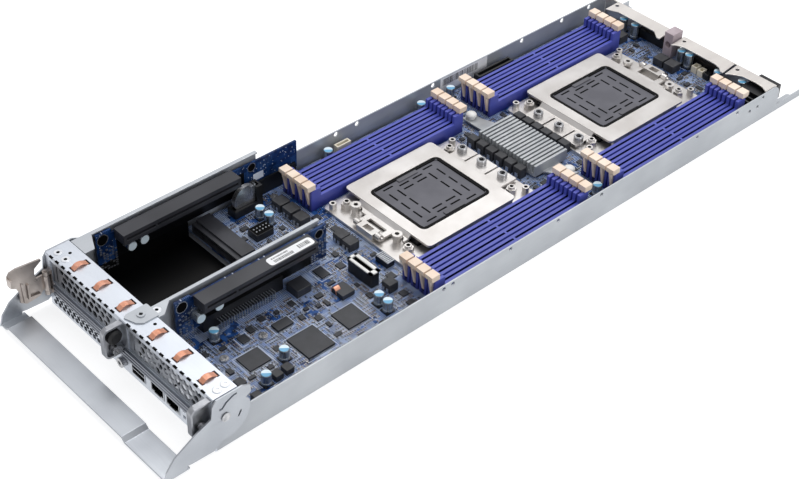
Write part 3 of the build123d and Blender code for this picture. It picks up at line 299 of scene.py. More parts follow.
def solder_mask(name, base, track, deep, flat_axes, density, film):
    """Lacquered board: striped cells over clouds, bright dots, and black film between two y and below a z."""
    material, tree, shader, mm = new_material(name)
    axes = add(tree, "SeparateXYZ", {0: mm})
    u, v = axes[flat_axes[0]], axes[flat_axes[1]]
    flat = add(tree, "CombineXYZ", {0: u, 1: v})[0]
    cells = add(tree, "TexVoronoi", {"distance": "CHEBYCHEV", "Vector": flat, "Scale": 1 / BUNDLE,
                                     "Randomness": 0.9})
    picks = add(tree, "SeparateColor", {0: cells["Color"]})
    along = add(tree, "Math", {"operation": "GREATER_THAN", 0: picks[0], 1: 0.5})[0]
    ordinate = add(tree, "Mix", {"data_type": "FLOAT", 0: along, 2: u, 3: v})[0]
    folded = add(tree, "Math", {"operation": "FLOORED_MODULO", 0: ordinate, 1: TRACK_PITCH})[0]
    tracks = where(tree, ("LESS_THAN", folded, TRACK_WIDE), ("LESS_THAN", picks[1], density))
    clouds = add(tree, "TexNoise", {"Vector": flat, "Scale": 1 / 5.0, "Detail": 4.0})["Fac"]
    share = add(tree, "MapRange", {"Value": clouds, "From Min": 0.43, "From Max": 0.55})[0]
    ground = add(tree, "Mix", {"data_type": "RGBA", 0: share, 6: deep, 7: base})[2]
    pour = add(tree, "Math", {"operation": "GREATER_THAN", 0: picks[2], 1: 0.84})[0]
    dots = add(tree, "TexVoronoi", {"Vector": flat, "Scale": 1 / DOT_PITCH, "Randomness": 0.85})["Distance"]
    patches = add(tree, "TexNoise", {"Vector": flat, "Scale": 1 / BUNDLE, "Detail": 1.0})["Fac"]
    bright = where(tree, ("LESS_THAN", dots, 0.21), ("GREATER_THAN", patches, 0.47))
    layers = [(tracks, 0.8, track), (pour, 0.25, track), (bright, 1.0, "#C2CCDF")]
    if film:
        covered = where(tree, ("GREATER_THAN", axes[1], film[0] - FACE_TO_ORIGIN),
                        ("LESS_THAN", axes[1], film[1] - FACE_TO_ORIGIN), ("LESS_THAN", axes[2], film[2]))
        layers.append((covered, 1.0, "#07080B"))
    for mask, strength, colour in layers:
        share = add(tree, "Math", {"operation": "MULTIPLY", 0: mask, 1: strength})[0]
        ground = add(tree, "Mix", {"data_type": "RGBA", 0: share, 6: ground, 7: colour})[2]
    relief = add(tree, "Bump", {"Height": tracks, "Distance": 0.00003, "Strength": 0.6})[0]
    give(tree, shader, {"Base Color": ground, "Roughness": 0.30, "Specular IOR Level": 0.3, "Normal": relief})
    return material


board_mask = solder_mask("blue_solder_mask", "#27508E", "#C6D4EA", "#0F2852", (0, 1), 0.85, None)
riser_left_mask = solder_mask("dark_blue_riser_left", "#10305F", "#2F5186", "#0B2146", (1, 2), 0.35,
                              (47.0, 149.0, 31.6))
riser_centre_mask = solder_mask("dark_blue_riser_centre", "#10305F", "#4C6A9C", "#0B2146", (1, 2), 0.45,
                                (49.0, 138.0, 31.2))

# %% [markdown]
# ## Ports and dust caps
# The jacks are nickel shells whose mouths look black, because little light gets in, so the mouths are painted
# near black as painted shade. A dust cap is a grey moulding, and the moat round its recessed face is painted
# dull black as painted shade. In both, the place on the piece decides the colour, so no new mesh is needed.

# %% Ports and caps
PORT_DEPTH, PORT_LID = 0.35, 11.9


def port_finish(name):
    """Nickel outside and painted shade inside, near black: further back than the mouth's lip, and below the
    lid.
    """
    material, tree, shader, mm = new_material(name)
    axes = add(tree, "SeparateXYZ", {0: mm})
    # painted shade: inside the mouth the colour is near black
    inside = where(tree, ("GREATER_THAN", axes[1], PORT_DEPTH - FACE_TO_ORIGIN),
                   ("LESS_THAN", axes[2], PORT_LID))
    tone = add(tree, "Mix", {"data_type": "RGBA", 0: inside, 6: "#B4B7BC", 7: "#08090B"})[2]
    metal = add(tree, "MapRange", {"Value": inside, "To Min": 0.9, "To Max": 0.0})[0]
    scuffs = add(tree, "TexNoise", {"Vector": mm, "Scale": 1 / 3.0, "Detail": 2.0})["Fac"]
    gloss = add(tree, "MapRange", {"Value": scuffs, "To Min": 0.22, "To Max": 0.42})[0]
    give(tree, shader, {"Base Color": tone, "Metallic": metal, "Roughness": gloss})
    return material


CPU_X, CAP_Y = 3.2, {"front": 242.5, "rear": 417.0}
# where the painted shade of the moat round the recessed face begins, from the cap's middle
MOAT_SHADE_FROM = (24.4, 28.6)


def cap_finish(name, middle_y):
    """Grey moulding with painted shade in the moat round its recessed face: the moat is where |x| or |y| from
    the middle passes its own limit.
    """
    material, tree, shader, mm = new_material(name)
    middle = (CPU_X, middle_y - FACE_TO_ORIGIN, 0.0)
    centred = add(tree, "VectorMath", {"operation": "SUBTRACT", 0: mm, 1: middle})[0]
    axes = add(tree, "SeparateXYZ", {0: add(tree, "VectorMath", {"operation": "ABSOLUTE", 0: centred})[0]})
    wide = add(tree, "Math", {"operation": "GREATER_THAN", 0: axes[0], 1: MOAT_SHADE_FROM[0]})[0]
    long = add(tree, "Math", {"operation": "GREATER_THAN", 0: axes[1], 1: MOAT_SHADE_FROM[1]})[0]
    moat_shade = add(tree, "Math", {"operation": "MAXIMUM", 0: wide, 1: long})[0]
    body = two_tones(tree, mm, 18.0, "#5A5A61", "#64646B")
    # painted shade: the moat is painted near black
    tone = add(tree, "Mix", {"data_type": "RGBA", 0: moat_shade, 6: body, 7: "#020203"})[2]
    relief = fine_relief(tree, mm, 0.4, 0.01, 0.4)
    rough = add(tree, "MapRange", {"Value": moat_shade, "To Min": 0.42, "To Max": 0.85})[0]
    give(tree, shader, {"Base Color": tone, "Roughness": rough, "Specular IOR Level": 0.3, "Normal": relief})
    return material


port_shell = port_finish("nickel_plated_port")
cap_front = cap_finish("grey_dust_cap_front", CAP_Y["front"])
cap_rear = cap_finish("grey_dust_cap_rear", CAP_Y["rear"])

# %% [markdown]
# ## Giving each CAD node its finish
# A CAD node's mesh stays as it is. Only its material slot is filled.

# %% Assign finishes
LATCHES = [f"latches_{end}_{side}" for end in ("front", "rear") for side in ("near", "far")]
CLAMPS = ["cpu_base_front", "cpu_base_rear", "force_frame_front", "force_frame_rear"]
finishes = {
    zinc_wall: ["tray", "riser_left_bracket", "riser_centre_bracket"],
    zinc_face_painted_light: ["front_panel"],
    zinc_blank: ["slot_covers"],
    handle_zinc: ["handle"],
    warm_nickel: ["latch_lever", "latch_hinge"],
    ear_zinc: ["bracket_ears"],
    rear_nickel: ["rear_plate"],
    frame_nickel: CLAMPS,
    bright_screw: ["panel_screws", "ear_centre_screw", "ear_right_screw", "panel_captive_screw",
                   "handle_pins", "board_standoffs", "board_screws", "frame_screws_front",
                   "frame_screws_rear"],
    port_shell: ["usb_ports", "lan_ports"],
    latch_plastic: LATCHES,
    black_plastic: ["cpu_housing_front", "cpu_housing_rear", "black_connectors", "coin_cell_holder",
                    "rear_connector", "riser_left_plug", "riser_centre_plug"],
    connector_plastic: ["mezzanine_connector"],
    slot_plastic: ["riser_left_slot", "riser_centre_slot"],
    pale_plastic: ["white_connectors"],
    white_pin: ["push_pins"],
    pad_rubber: ["ear_pad"],
    liner_film: ["bay_liner"],
    rail_zinc: ["mid_rail"],
    guide_plastic: ["guide_block"],
    ferrite: ["chokes"],
    epoxy: ["chips"],
    left_blue: ["dimm_front_left", "dimm_rear_left"],
    right_blue: ["dimm_front_right", "dimm_rear_right"],
    board_mask: ["mainboard"],
    riser_left_mask: ["riser_left_board"],
    riser_centre_mask: ["riser_centre_board"],
    cap_front: ["cpu_cap_front"],
    cap_rear: ["cpu_cap_rear"],
    spring_copper: ["emi_fingers"],
    sink_aluminium: ["vrm_heatsink"],
    can_aluminium: ["capacitors"],
    cell_steel: ["coin_cell"],
}
for material, names in finishes.items():
    for name in names:
        slots = nodes[name].data.materials
        slots.clear()
        slots.append(material)
print("finished nodes:", sum(len(names) for names in finishes.values()))

# %% [markdown]
# ## Softer edges
# No real edge is perfectly sharp: sheet metal has a sheared burr and a moulding has a small radius, and
# both catch the light as a thin line. A CAD node is a set of loose triangles, so a Weld modifier joins them
# first and a Bevel modifier then rounds only the edges that turn by more than 35 degrees.

# %% Round the edges of the CAD nodes
WELD_REACH = 0.00001
EDGE_RADII_MM = {
    0.45: CLAMPS + ["chokes"],
    0.30: LATCHES + ["riser_left_slot", "riser_centre_slot", "guide_block", "handle", "bracket_ears"],
    0.22: ["dimm_front_left", "dimm_front_right", "dimm_rear_left", "dimm_rear_right", "tray", "rear_plate",
           "riser_left_bracket", "riser_centre_bracket", "vrm_heatsink", "mezzanine_connector", "chips",
           "black_connectors", "rear_connector", "latch_lever"],
}
for radius_mm, names in EDGE_RADII_MM.items():
    for name in names:
        weld = nodes[name].modifiers.new("weld", "WELD")
        weld.merge_threshold = WELD_REACH
        bevel = nodes[name].modifiers.new("edge", "BEVEL")
        bevel.width = radius_mm * 0.001
        bevel.segments = 2
        bevel.limit_method = "ANGLE"
        bevel.angle_limit = math.radians(35)
print("softened:", sum(len(names) for names in EDGE_RADII_MM.values()))

# %% [markdown]
# ## Meshes from arrays
# Every extra piece has one of three forms. A box is given by its low and high corner, so a thousand boxes
# are two arrays of corners. A turned part is a profile of radius and height carried round an axis. A slab
# is a flat outline given a thickness. All three are worked out as whole arrays, and one function makes the
# mesh. Two shorter ones call it for the commonest looks: a dark recess and a tinned contact.

# %% Helpers for meshes
def metres(points):
    """Millimetres from the face's middle to the record's metres: y loses 280, then all is scaled."""
    return (np.asarray(points, float) - [0.0, FACE_TO_ORIGIN, 0.0]) * 0.001


MERGE_REACH = 1e-7


def build(name, made, material, body="node_tray", weld=False):
    """Make a mesh from points in mm and faces, let it ride on a body and take its material."""
    points, faces = made
    mesh = bpy.data.meshes.new(name)
    faces = faces.tolist() if isinstance(faces, np.ndarray) else faces
    mesh.from_pydata(metres(points).tolist(), [], faces)
    if weld:
        work = bmesh.new()
        work.from_mesh(mesh)
        bmesh.ops.remove_doubles(work, verts=work.verts, dist=MERGE_REACH)
        work.to_mesh(mesh)
        work.free()
    piece = bpy.data.objects.new(name, mesh)
    bpy.context.scene.collection.objects.link(piece)
    mesh.materials.append(material)
    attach(piece, body)
    return piece


def recess(name, made, body="node_tray", weld=False):
    """A hole or slit that no light comes out of, drawn as a black piece: painted shade."""
    build(name, made, recess_black, body, weld)


def tinned(name, made, body="node_tray", weld=False):
    """Contacts, terminals and rings under bright tin."""
    build(name, made, tin, body, weld)


BOX_FACES = np.array([(0, 1, 3, 2), (4, 6, 7, 5), (0, 4, 5, 1), (2, 3, 7, 6), (0, 2, 6, 4), (1, 5, 7, 3)])


def boxes(lows, highs):
    """Corner i of a box takes x, y, z from low or high by the three bits of i."""
    lows, highs = np.atleast_2d(lows), np.atleast_2d(highs)
    bits = (np.arange(8)[:, None] >> np.array([2, 1, 0])) & 1
    points = np.where(bits[None], highs[:, None], lows[:, None])
    faces = BOX_FACES[None] + 8 * np.arange(len(points))[:, None, None]
    return points.reshape(-1, 3), faces.reshape(-1, 4)


def standing(x, y, w, d, z0, z1):
    """Boxes by middle, width along x and depth along y; every value may be an array."""
    given = [np.asarray(v, float) for v in (x, y, w, d, z0, z1)]
    x, y, w, d, z0, z1 = [v.ravel() for v in np.broadcast_arrays(*given)]
    return boxes(np.column_stack([x - w / 2, y - d / 2, z0]), np.column_stack([x + w / 2, y + d / 2, z1]))


def joined(made):
    """Stack several (points, faces) pairs into one, shifting each one's face numbers."""
    shift = np.cumsum([0] + [len(points) for points, _ in made[:-1]])
    faces = np.vstack([faces + n for (_, faces), n in zip(made, shift)])
    return np.vstack([points for points, _ in made]), faces


def turned(profile, centres, axis="z", sides=20):
    """Carry a profile of (radius, height) round an upright axis at each centre, or round one along x."""
    radius, height = np.asarray(profile, float).T
    angle = np.arange(sides) * 2 * math.pi / sides
    ring = np.stack([np.outer(radius, np.cos(angle)), np.outer(radius, np.sin(angle)),
                     np.repeat(height[:, None], sides, 1)], -1)
    if axis == "x":
        ring = ring[..., [2, 0, 1]]
    points = np.atleast_2d(centres)[:, None, None] + ring[None]
    row, column = np.meshgrid(np.arange(len(radius) - 1), np.arange(sides), indexing="ij")
    beside = (column + 1) % sides
    quads = np.stack([row * sides + column, row * sides + beside, (row + 1) * sides + beside,
                      (row + 1) * sides + column], -1).reshape(-1, 4)
    faces = quads[None] + len(radius) * sides * np.arange(len(points))[:, None, None]
    return points.reshape(-1, 3), faces.reshape(-1, 4)


def disc(radius, low, high):
    """Profile of a solid disc, from the middle of its underside round to the middle of its top."""
    return [(0, low), (radius, low), (radius, high), (0, high)]


def slab(outline, centres, z0, z1):
    """An outline, counter-clockwise from above, made solid from z0 to z1 at each centre (x, y)."""
    flat = np.asarray(outline, float)
    n = len(flat)
    one = np.vstack([np.column_stack([flat, np.full(n, z0)]), np.column_stack([flat, np.full(n, z1)])])
    centres = np.column_stack([np.atleast_2d(centres)[:, :2], np.zeros(len(np.atleast_2d(centres)))])
    faces = [list(range(n, 2 * n)), list(range(n - 1, -1, -1))]
    faces += [[k, (k + 1) % n, n + (k + 1) % n, n + k] for k in range(n)]
    every = [[v + 2 * n * i for v in face] for i in range(len(centres)) for face in faces]
    return (centres[:, None] + one[None]).reshape(-1, 3), every


def rounded(width, depth, radius, steps=5):
    """Outline of a rounded rectangle: a quarter circle at each corner, counter-clockwise."""
    quarter = np.linspace(0, math.pi / 2, steps)
    angle = (quarter[None] + np.arange(4)[:, None] * math.pi / 2).ravel()
    signs = np.repeat([(1, 1), (-1, 1), (-1, -1), (1, -1)], steps, 0)
    middle = signs * [width / 2 - radius, depth / 2 - radius]
    return middle + radius * np.column_stack([np.cos(angle), np.sin(angle)])


print("mesh helpers ready")

# %% [markdown]
# ## Capacitor cans
# An aluminium electrolytic can is drawn from sheet, crimped near its foot and stands on a black base. Its
# top is printed pale with a blue sector. The can is a profile turned round its axis, and the print is two
# thin halves of a disc.

# %% Cans, bases and their printed tops
CANS = np.array([(66.3, 51.3), (56.8, 72.6), (57.2, 148.1), (65.6, 147.9), (16.9, 50.8), (-77.0, 221.3),
                 (-76.6, 309.0), (-77.2, 338.9), (71.3, 334.0), (-57.8, 145.8), (-49.0, 146.3),
                 (-55.0, 504.0), (-43.4, 504.0), (3.8, 502.9), (11.1, 503.0), (40.0, 501.3), (59.6, 504.6)])
REAR_CANS = 6
LOW_TOP, TALL_TOP = 16.05, 19.05


def can_profile(top):
    """Profile of an upright can: crimped 1.5 mm above its foot, with a rounded shoulder under its top."""
    return [(0, 8.1), (3.2, 8.1), (3.35, 8.3), (3.35, 9.6), (2.95, 9.9), (2.95, 10.2), (3.35, 10.5),
            (3.35, top - 0.35), (3.1, top), (0, top)]


can_places = np.column_stack([CANS, np.zeros(len(CANS))])
low_cans = turned(can_profile(LOW_TOP), can_places[:-REAR_CANS])
tall_cans = turned(can_profile(TALL_TOP), can_places[-REAR_CANS:])
cans = build("can_bodies", joined([low_cans, tall_cans]), can_aluminium, weld=True)
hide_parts("capacitors")
build("can_bases", standing(CANS[:, 0], CANS[:, 1], 6.9, 6.9, BOARD_TOP, 8.15),
      black_plastic)
half_turn = 0.9 + np.linspace(0, math.pi, 11)
half_disc = 3.05 * np.column_stack([np.cos(half_turn), np.sin(half_turn)])
for name, outline, finish in (("pale", half_disc, can_pale), ("blue", -half_disc, can_blue)):
    for ending, places, top in (("", CANS[:-REAR_CANS], LOW_TOP), ("_rear", CANS[-REAR_CANS:], TALL_TOP)):
        build("can_tops_" + name + ending, slab(outline, places, top - 0.05, top + 0.10),
              finish)
print("cans:", len(CANS))

# %% [markdown]
# ## Cans, rings and holes on the risers
# Each riser carries two cans lying on their sides and a few rows of tiny bright parts. Round a mounting
# hole the copper is left free of lacquer and tinned, which shows as a ring, and the hole itself looks
# black. One hole of the left riser doesn't show in the photograph, so a disc of the board's own lacquer
# covers it.

# %% Riser cans, rings, holes and small parts
riser_dice = np.random.default_rng(5)
RING_WIDE = 0.6
PART_SIZE, PART_SHARE = (0.6, 1.5, 0.8), 0.55
PART_STEP_Y, PART_STEP_Z = 2.2, 1.9
# x of the board's face, cans as (y, z) and length, holes as y, z and radius, small parts from y to y
RISERS = {
    "riser_left": (-78.0, [((54.0, 24.6), 7.5), ((63.4, 25.0), 7.5)],
                   [(37.4, 33.8, 4.3), (155.4, 32.6, 3.5)], [(34.2, 46.0)]),
    "riser_centre": (4.6, [((45.2, 25.6), 8.2), ((61.2, 24.4), 5.2)],
                     [(37.4, 33.8, 4.3), (144.0, 33.0, 3.6)], [(34.2, 44.5), (137.0, 149.0)]),
}


def side_can(length):
    """Profile of a can of this length lying on its side, crimped 1.5 mm from its foot."""
    return [(0, 0), (3.45, 0), (3.5, 0.2), (3.5, 1.2), (3.1, 1.5), (3.1, 1.8), (3.5, 2.1),
            (3.5, length - 0.3), (3.25, length), (0, length)]


def flat_ring(radius):
    """Profile of a flat ring of the named width inside this radius."""
    inner = radius - RING_WIDE
    return [(inner, 0), (radius, 0), (radius, 0.08), (inner, 0.08), (inner, 0)]


for body, (face_x, lying, holes, patches) in RISERS.items():
    made = [turned(side_can(length), [(face_x, *place)], "x") for place, length in lying]
    build(body + "_cans", joined(made), can_aluminium, body, True)
    made = [turned(disc(3.1, -0.02, 0.12), [(face_x + length, *place)], "x") for place, length in lying]
    build(body + "_can_tops", joined(made), can_pale, body, True)
    made = [turned(flat_ring(r), [(face_x, y, z)], "x") for y, z, r in holes]
    tinned(body + "_rings", joined(made), body, weld=True)
    # painted shade: each hole drawn as a black disc inside its ring
    made = [turned(disc(r - RING_WIDE, 0, 0.05), [(face_x, y, z)], "x") for y, z, r in holes]
    recess(body + "_holes", joined(made), body, True)
    y = np.concatenate([np.arange(low, high, PART_STEP_Y) for low, high in patches])
    y, z = [v.ravel() for v in np.meshgrid(y, np.arange(9.6, 27.0, PART_STEP_Z))]
    kept = riser_dice.random(len(y)) < PART_SHARE
    low = np.column_stack([np.full(kept.sum(), face_x - 0.02), y[kept], z[kept]])
    tinned(body + "_parts", boxes(low, low + PART_SIZE), body)
left_x = RISERS["riser_left"][0]
lacquer = turned(disc(2.5, -0.04, 0.04), [(left_x, 188.0, 31.2)], "x")
build("riser_left_lacquer", lacquer, riser_left_mask, "riser_left", True)
print("riser cans:", sum(len(lying) for _, lying, _, _ in RISERS.values()))

# %% [markdown]
# ## Labels
# A paper label lies on the middle riser's slot and another on the left wall. Real ones carry a bar code and
# small print. Only plain bars are drawn, of random widths. The left riser has a small patch of white print.

# %% Labels
dice = np.random.default_rng(11)


def bars(start_mm, count, widest):
    """Middles and widths of printed bars: widths and gaps are drawn at random, then summed."""
    widths = dice.uniform(0.25, widest, count)
    gaps = dice.uniform(0.3, widest, count)
    left = start_mm + np.cumsum(widths + gaps) - widths
    return left + widths / 2, widths


SLOT_TOP = 38.4
LABEL_MIDDLE = (10.9, 115.8)
label = slab(rounded(7.4, 35.0, 2.2), [LABEL_MIDDLE], SLOT_TOP - 0.05, SLOT_TOP + 0.06)
build("slot_label", label, label_paper, "riser_centre")
groups = []
for x, wide, start_mm, count in ((12.2, 2.4, 101.5, 18), (9.3, 1.2, 101.5, 16), (10.9, 3.6, 121.5, 11)):
    bar_y, bar_w = bars(start_mm, count, 0.6)
    groups.append(standing(x, bar_y, wide, bar_w, SLOT_TOP + 0.05, SLOT_TOP + 0.10))
build("slot_label_bars", joined(groups), label_ink, "riser_centre")
patch = boxes([(left_x - 0.02, 156.5, 20.5)], [(left_x + 0.08, 165.0, 26.0)])
build("riser_left_patch", patch, white_ink, "riser_left")
WALL_FACE = -83.0
label = boxes([(WALL_FACE - 0.02, 334.0, 9.0)], [(WALL_FACE + 0.06, 382.0, 22.0)])
build("wall_label", label, label_paper)
bar_y, bar_w = bars(336.0, 34, 0.8)
wall_bars = standing(WALL_FACE + 0.075, bar_y, 0.05, bar_w, 15.0, 20.6)
build("wall_label_bars", wall_bars, label_ink)
print("bars on the wall label:", len(bar_y))

# %% [markdown]
# ## Dust cap slits and tabs
# Narrow slits let air through each dust cap. They form a ring of long ones near the rim and a second ring
# nearer the middle, doubled on two sides, and a raised tab bridges the black moat on those sides; that black
# is painted shade. The slits are drawn as thin black strips on the recessed face, painted shade that looks
# the same from above as the dark slits.

# %% Slits and tabs of the dust caps
CAP_FACE = 14.8
SLITS_X, TAB_REACH = 2.7, 22.9
SLIT_LONG, SLIT_WIDE = 8.6, 1.35
across_rows = [(x, y, SLIT_LONG, SLIT_WIDE) for y in (-21.9, -14.4, 14.4, 21.9) for x in (-11.8, 0.0, 11.8)]
side_rows = [(x, y, SLIT_WIDE, SLIT_LONG) for x in (-21.4, 21.4) for y in (-18.2, 18.2)]
side_rows += [(x, y, SLIT_WIDE, SLIT_LONG) for x in (-18.5, -13.9, 13.9, 18.5) for y in (-6.1, 6.1)]
slits = np.array(across_rows + side_rows)
for place, middle_y in CAP_Y.items():
    made = standing(slits[:, 0] + SLITS_X, slits[:, 1] + middle_y, slits[:, 2], slits[:, 3],
                    CAP_FACE - 0.02, CAP_FACE + 0.04)
    # painted shade: the slits as black strips on the cap's face
    recess("cap_slits_" + place, made, "cpu_cap_" + place)
    middles = [(SLITS_X - TAB_REACH, middle_y + 0.6), (SLITS_X + TAB_REACH, middle_y + 0.6)]
    tabs = slab(rounded(3.4, 17.5, 0.6), middles, CAP_FACE - 0.02, CAP_FACE + 0.75)
    build("cap_tabs_" + place, tabs, cap_tab_grey, "cpu_cap_" + place)
print("slits on each cap:", len(slits))

# %% [markdown]
# ## The face
# The bend over the face is pierced by short slots that look black, and the left vents look into the dark of
# the card bay. Black strips just below the surface and a black sheet behind the vents give that look from
# every side: both are painted shade. The rivets of the top plate are bright rings whose dark middles are
# painted shade, and the screw of the middle tab has a cross drawn black as painted shade.

# %% Slots, painted shade and rivets of the face
PLATE_TOP = 41.0
DASH_LONG, DASH_PITCH = 3.6, 6.5
dash_starts = np.concatenate([-79.5 + DASH_PITCH * np.arange(11), 1.6 + DASH_PITCH * np.arange(12)])
# painted shade: black strips under the slots of the bend
recess("bend_slots", standing(dash_starts + DASH_LONG / 2, 0.62, DASH_LONG, 1.3, 40.1, 40.93))
# painted shade: black sheets behind the left vents
vent_shade_sheets = boxes([(-82.0, 1.05, 1.6), (-79.0, 1.95, 20.9)], [(-24.0, 1.25, 12.8), (-30.0, 2.1, 37.4)])
build("vent_painted_shade", vent_shade_sheets, recess_black)
RIVETS = np.array([(-78.3, 5.9, PLATE_TOP), (-69.8, 5.7, PLATE_TOP), (79.2, 7.1, PLATE_TOP),
                   (78.3, 13.3, PLATE_TOP)])
TAB_RIVET = np.array([(3.5, 20.6, PLATE_TOP)])
RIVET_DISH = 0.2
rivet_profile = [(0.0, 0.0), (2.9, 0.0), (2.9, RIVET_DISH), (2.5, 0.45), (1.2, 0.45), (1.1, RIVET_DISH),
                 (0.0, RIVET_DISH)]
rivets = build("top_rivets", turned(rivet_profile, RIVETS), rivet_zinc, weld=True)
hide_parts("panel_screws")
build("tab_rivet", turned(rivet_profile, TAB_RIVET), rivet_zinc, "riser_centre", True)
small_disc = disc(1.1, 0, 0.06)
# painted shade in the hollow middles of the rivets
recess("rivet_middles", turned(small_disc, RIVETS[:2] + [0, 0, RIVET_DISH]), weld=True)
recess("tab_rivet_middle", turned(small_disc, TAB_RIVET + [0, 0, RIVET_DISH]), "riser_centre", True)
HOLES = np.array([(-73.2, 11.2, PLATE_TOP), (12.7, 12.8, PLATE_TOP)])
# painted shade in the holes of the top plate
recess("top_plate_holes", turned(small_disc, HOLES), weld=True)
CROSS_TOP = 42.8
# painted shade: the screw's cross recess drawn black
cross = standing(1.8, 10.7, [2.6, 0.6], [0.6, 2.6], CROSS_TOP - 0.02, CROSS_TOP + 0.04)
recess("tab_screw_cross", cross, "riser_centre")
FINGERS = np.array([-59.3, -35.6, -11.6, 20.8, 44.5, 68.4])
slot_x, slot_y = [v.ravel() for v in np.meshgrid(FINGERS, [3.8, 14.4])]
# painted shade: black strips under the finger slots
recess("finger_slot_painted_shade", standing(slot_x, slot_y, 6.4, 2.4, 39.2, 39.5))
print("rivets:", len(RIVETS) + 1, "slots in the bend:", len(dash_starts))

# %% [markdown]
# ## Screws and push pins
# A processor clamp is held by captive screws: a round head with a hexagonal recess over a sprung collar.
# They are turned parts, so a profile carried round the axis gives them with a soft rim. The hexagonal
# recesses of the heads, and those of the nuts and studs of the base plate, are drawn dark as painted shade.
# The white
# pins of the heat sink have domed heads: half an ellipse carried round its axis.

# %% Turned screws, recesses and domed pins
SCREW_X, SCREW_Y = (-22.0, -3.0, 17.0), 51.6
# x and y from the clamp's middle, height and radius
BASE_HOLES = [(-29.5, -48.4, 15.4, 1.5), (30.9, -48.4, 15.4, 1.5), (-29.5, 46.4, 15.4, 1.5),
              (30.9, 46.4, 15.4, 1.5), (-34.5, -56.2, 14.6, 1.4), (35.0, -56.2, 14.6, 1.4),
              (-34.5, 54.0, 14.6, 1.4), (37.0, 54.0, 14.6, 1.4), (-21.8, -47.0, 15.0, 1.65),
              (18.6, -47.0, 15.0, 1.65)]
head = [(0, 9.6), (4.1, 9.6), (4.1, 12.0), (3.5, 12.4), (3.5, 15.7), (3.1, 16.2), (2.0, 16.2), (1.85, 15.0),
        (0, 15.0)]
for place, sign in (("front", 1), ("rear", -1)):
    spots = [(CPU_X + sign * x, CAP_Y[place] + sign * SCREW_Y, 0.0) for x in SCREW_X]
    screws = build("clamp_screws_" + place, turned(head, spots, sides=24), bright_screw,
                   "force_frame_" + place, True)
    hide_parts("frame_screws_" + place)
    # painted shade in the hexagonal recess of each head
    hexagons = turned(disc(1.8, 14.98, 15.06), spots, sides=6)
    recess("clamp_recesses_" + place, hexagons, "force_frame_" + place, True)
    # painted shade in the recesses of the base plate's nuts and studs
    made = [turned(disc(r, z - 0.02, z + 0.05), [(CPU_X + sign * x, CAP_Y[place] + sign * y, 0.0)], sides=6)
            for x, y, z, r in BASE_HOLES]
    recess("base_recesses_" + place, joined(made), weld=True)
dome = [(4.0 * math.sqrt(1 - t * t), 13.4 + 2.6 * t) for t in np.linspace(0, 1, 6)]
pin_profile = [(0, BOARD_TOP), (1.8, BOARD_TOP), (1.8, 10.7), (3.0, 10.7), (3.0, 13.0), (4.0, 13.0)] + dome
pins = build("domed_push_pins", turned(pin_profile, [(-45.0, 328.6, 0), (45.0, 334.6, 0)]),
             white_pin, weld=True)
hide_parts("push_pins")
print("clamp screws:", 2 * len(SCREW_X), "recesses on each base:", len(BASE_HOLES))

# %% [markdown]
# ## Pins and small connectors
# The middle riser's plug has a row of bent pins along its right side, the little connectors have contacts
# inside, and the chokes have bright terminals. A copper ribbon arches over the board: it is one strip of
# faces along half an ellipse, given its thickness by a Solidify modifier. A tinned clip holds the button
# cell.

# %% Pins, frames and terminals
pin_y = np.arange(60.5, 104.5, 2.0)
shoulders = standing(9.4, pin_y, 4.4, 0.6, 12.6, 13.1)
legs_down = standing(11.3, pin_y, 0.6, 0.6, BOARD_TOP, 12.7)
tinned("riser_plug_pins", joined([shoulders, legs_down]))
grid_x, grid_y = np.meshgrid(-43.6 + np.array([-1.5, 1.5]), 130.4 + 2.54 * np.arange(5))
# painted shade: the floor of the header between its pins drawn black
recess("header_floor", boxes([(-48.2, 128.6, 12.4)], [(-39.0, 142.2, 12.66)]))
header_pins = standing(grid_x.ravel(), grid_y.ravel(), 0.8, 0.8, 8.6, 13.1)
tinned("header_pins", header_pins)
frame_low = [(20.9, 153.4, 17.9), (20.9, 158.7, 17.9), (20.9, 153.4, 17.9), (40.6, 153.4, 17.9)]
frame_high = [(43.8, 155.4, 18.8), (43.8, 161.2, 18.8), (22.8, 161.2, 18.8), (43.8, 161.2, 18.8)]
build("slim_connector_frame", boxes(frame_low, frame_high), white_pin)
tinned("ribbed_connector_ribs", standing(np.arange(25.2, 36.0, 1.5), 177.4, 0.7, 6.2, 11.2, 11.9))
choke_x = np.concatenate([-23.0 + 9.05 * np.arange(6), -21.2 + 8.7 * np.arange(6)])
choke_y = np.repeat([306.1, 350.5], 6)
tinned("choke_terminals", standing(choke_x, choke_y, 2.6, 0.5, BOARD_TOP, 11.2))
# x, y and half the depth of each single choke
SINGLES = np.array([(-4.6, 170.9, 4.2), (4.4, 170.7, 4.2), (51.0, 163.0, 3.8), (-57.4, 163.0, 4.6),
                    (-46.8, 163.4, 4.6), (-35.8, 162.8, 4.4)])
pairs = [standing(SINGLES[:, 0] + dx, SINGLES[:, 1] - SINGLES[:, 2] - 0.2, 1.8, 0.5, BOARD_TOP, 10.4)
         for dx in (-1.8, 1.8)]
tinned("single_choke_terminals", joined(pairs))
arc = np.linspace(0, math.pi, 13)
line = np.column_stack([31.9 + 2.6 * np.cos(arc), np.full(13, 134.7), 8.2 + 4.4 * np.sin(arc)])
ribbon_sides = np.stack([line + [0, -2.0, 0], line + [0, 2.0, 0]], 1).reshape(-1, 3)
step = np.arange(12) * 2
ribbon_faces = np.column_stack([step, step + 1, step + 3, step + 2])
ribbon = build("copper_ribbon", (ribbon_sides, ribbon_faces), spring_copper)
ribbon.modifiers.new("thickness", "SOLIDIFY").thickness = 0.0005
clip = boxes([(-68.95, 147.0, 19.0), (-71.8, 150.9, 25.8)], [(-68.55, 151.3, 26.2), (-68.55, 151.3, 26.2)])
tinned("cell_clip", clip)
print("plug pins:", len(pin_y))

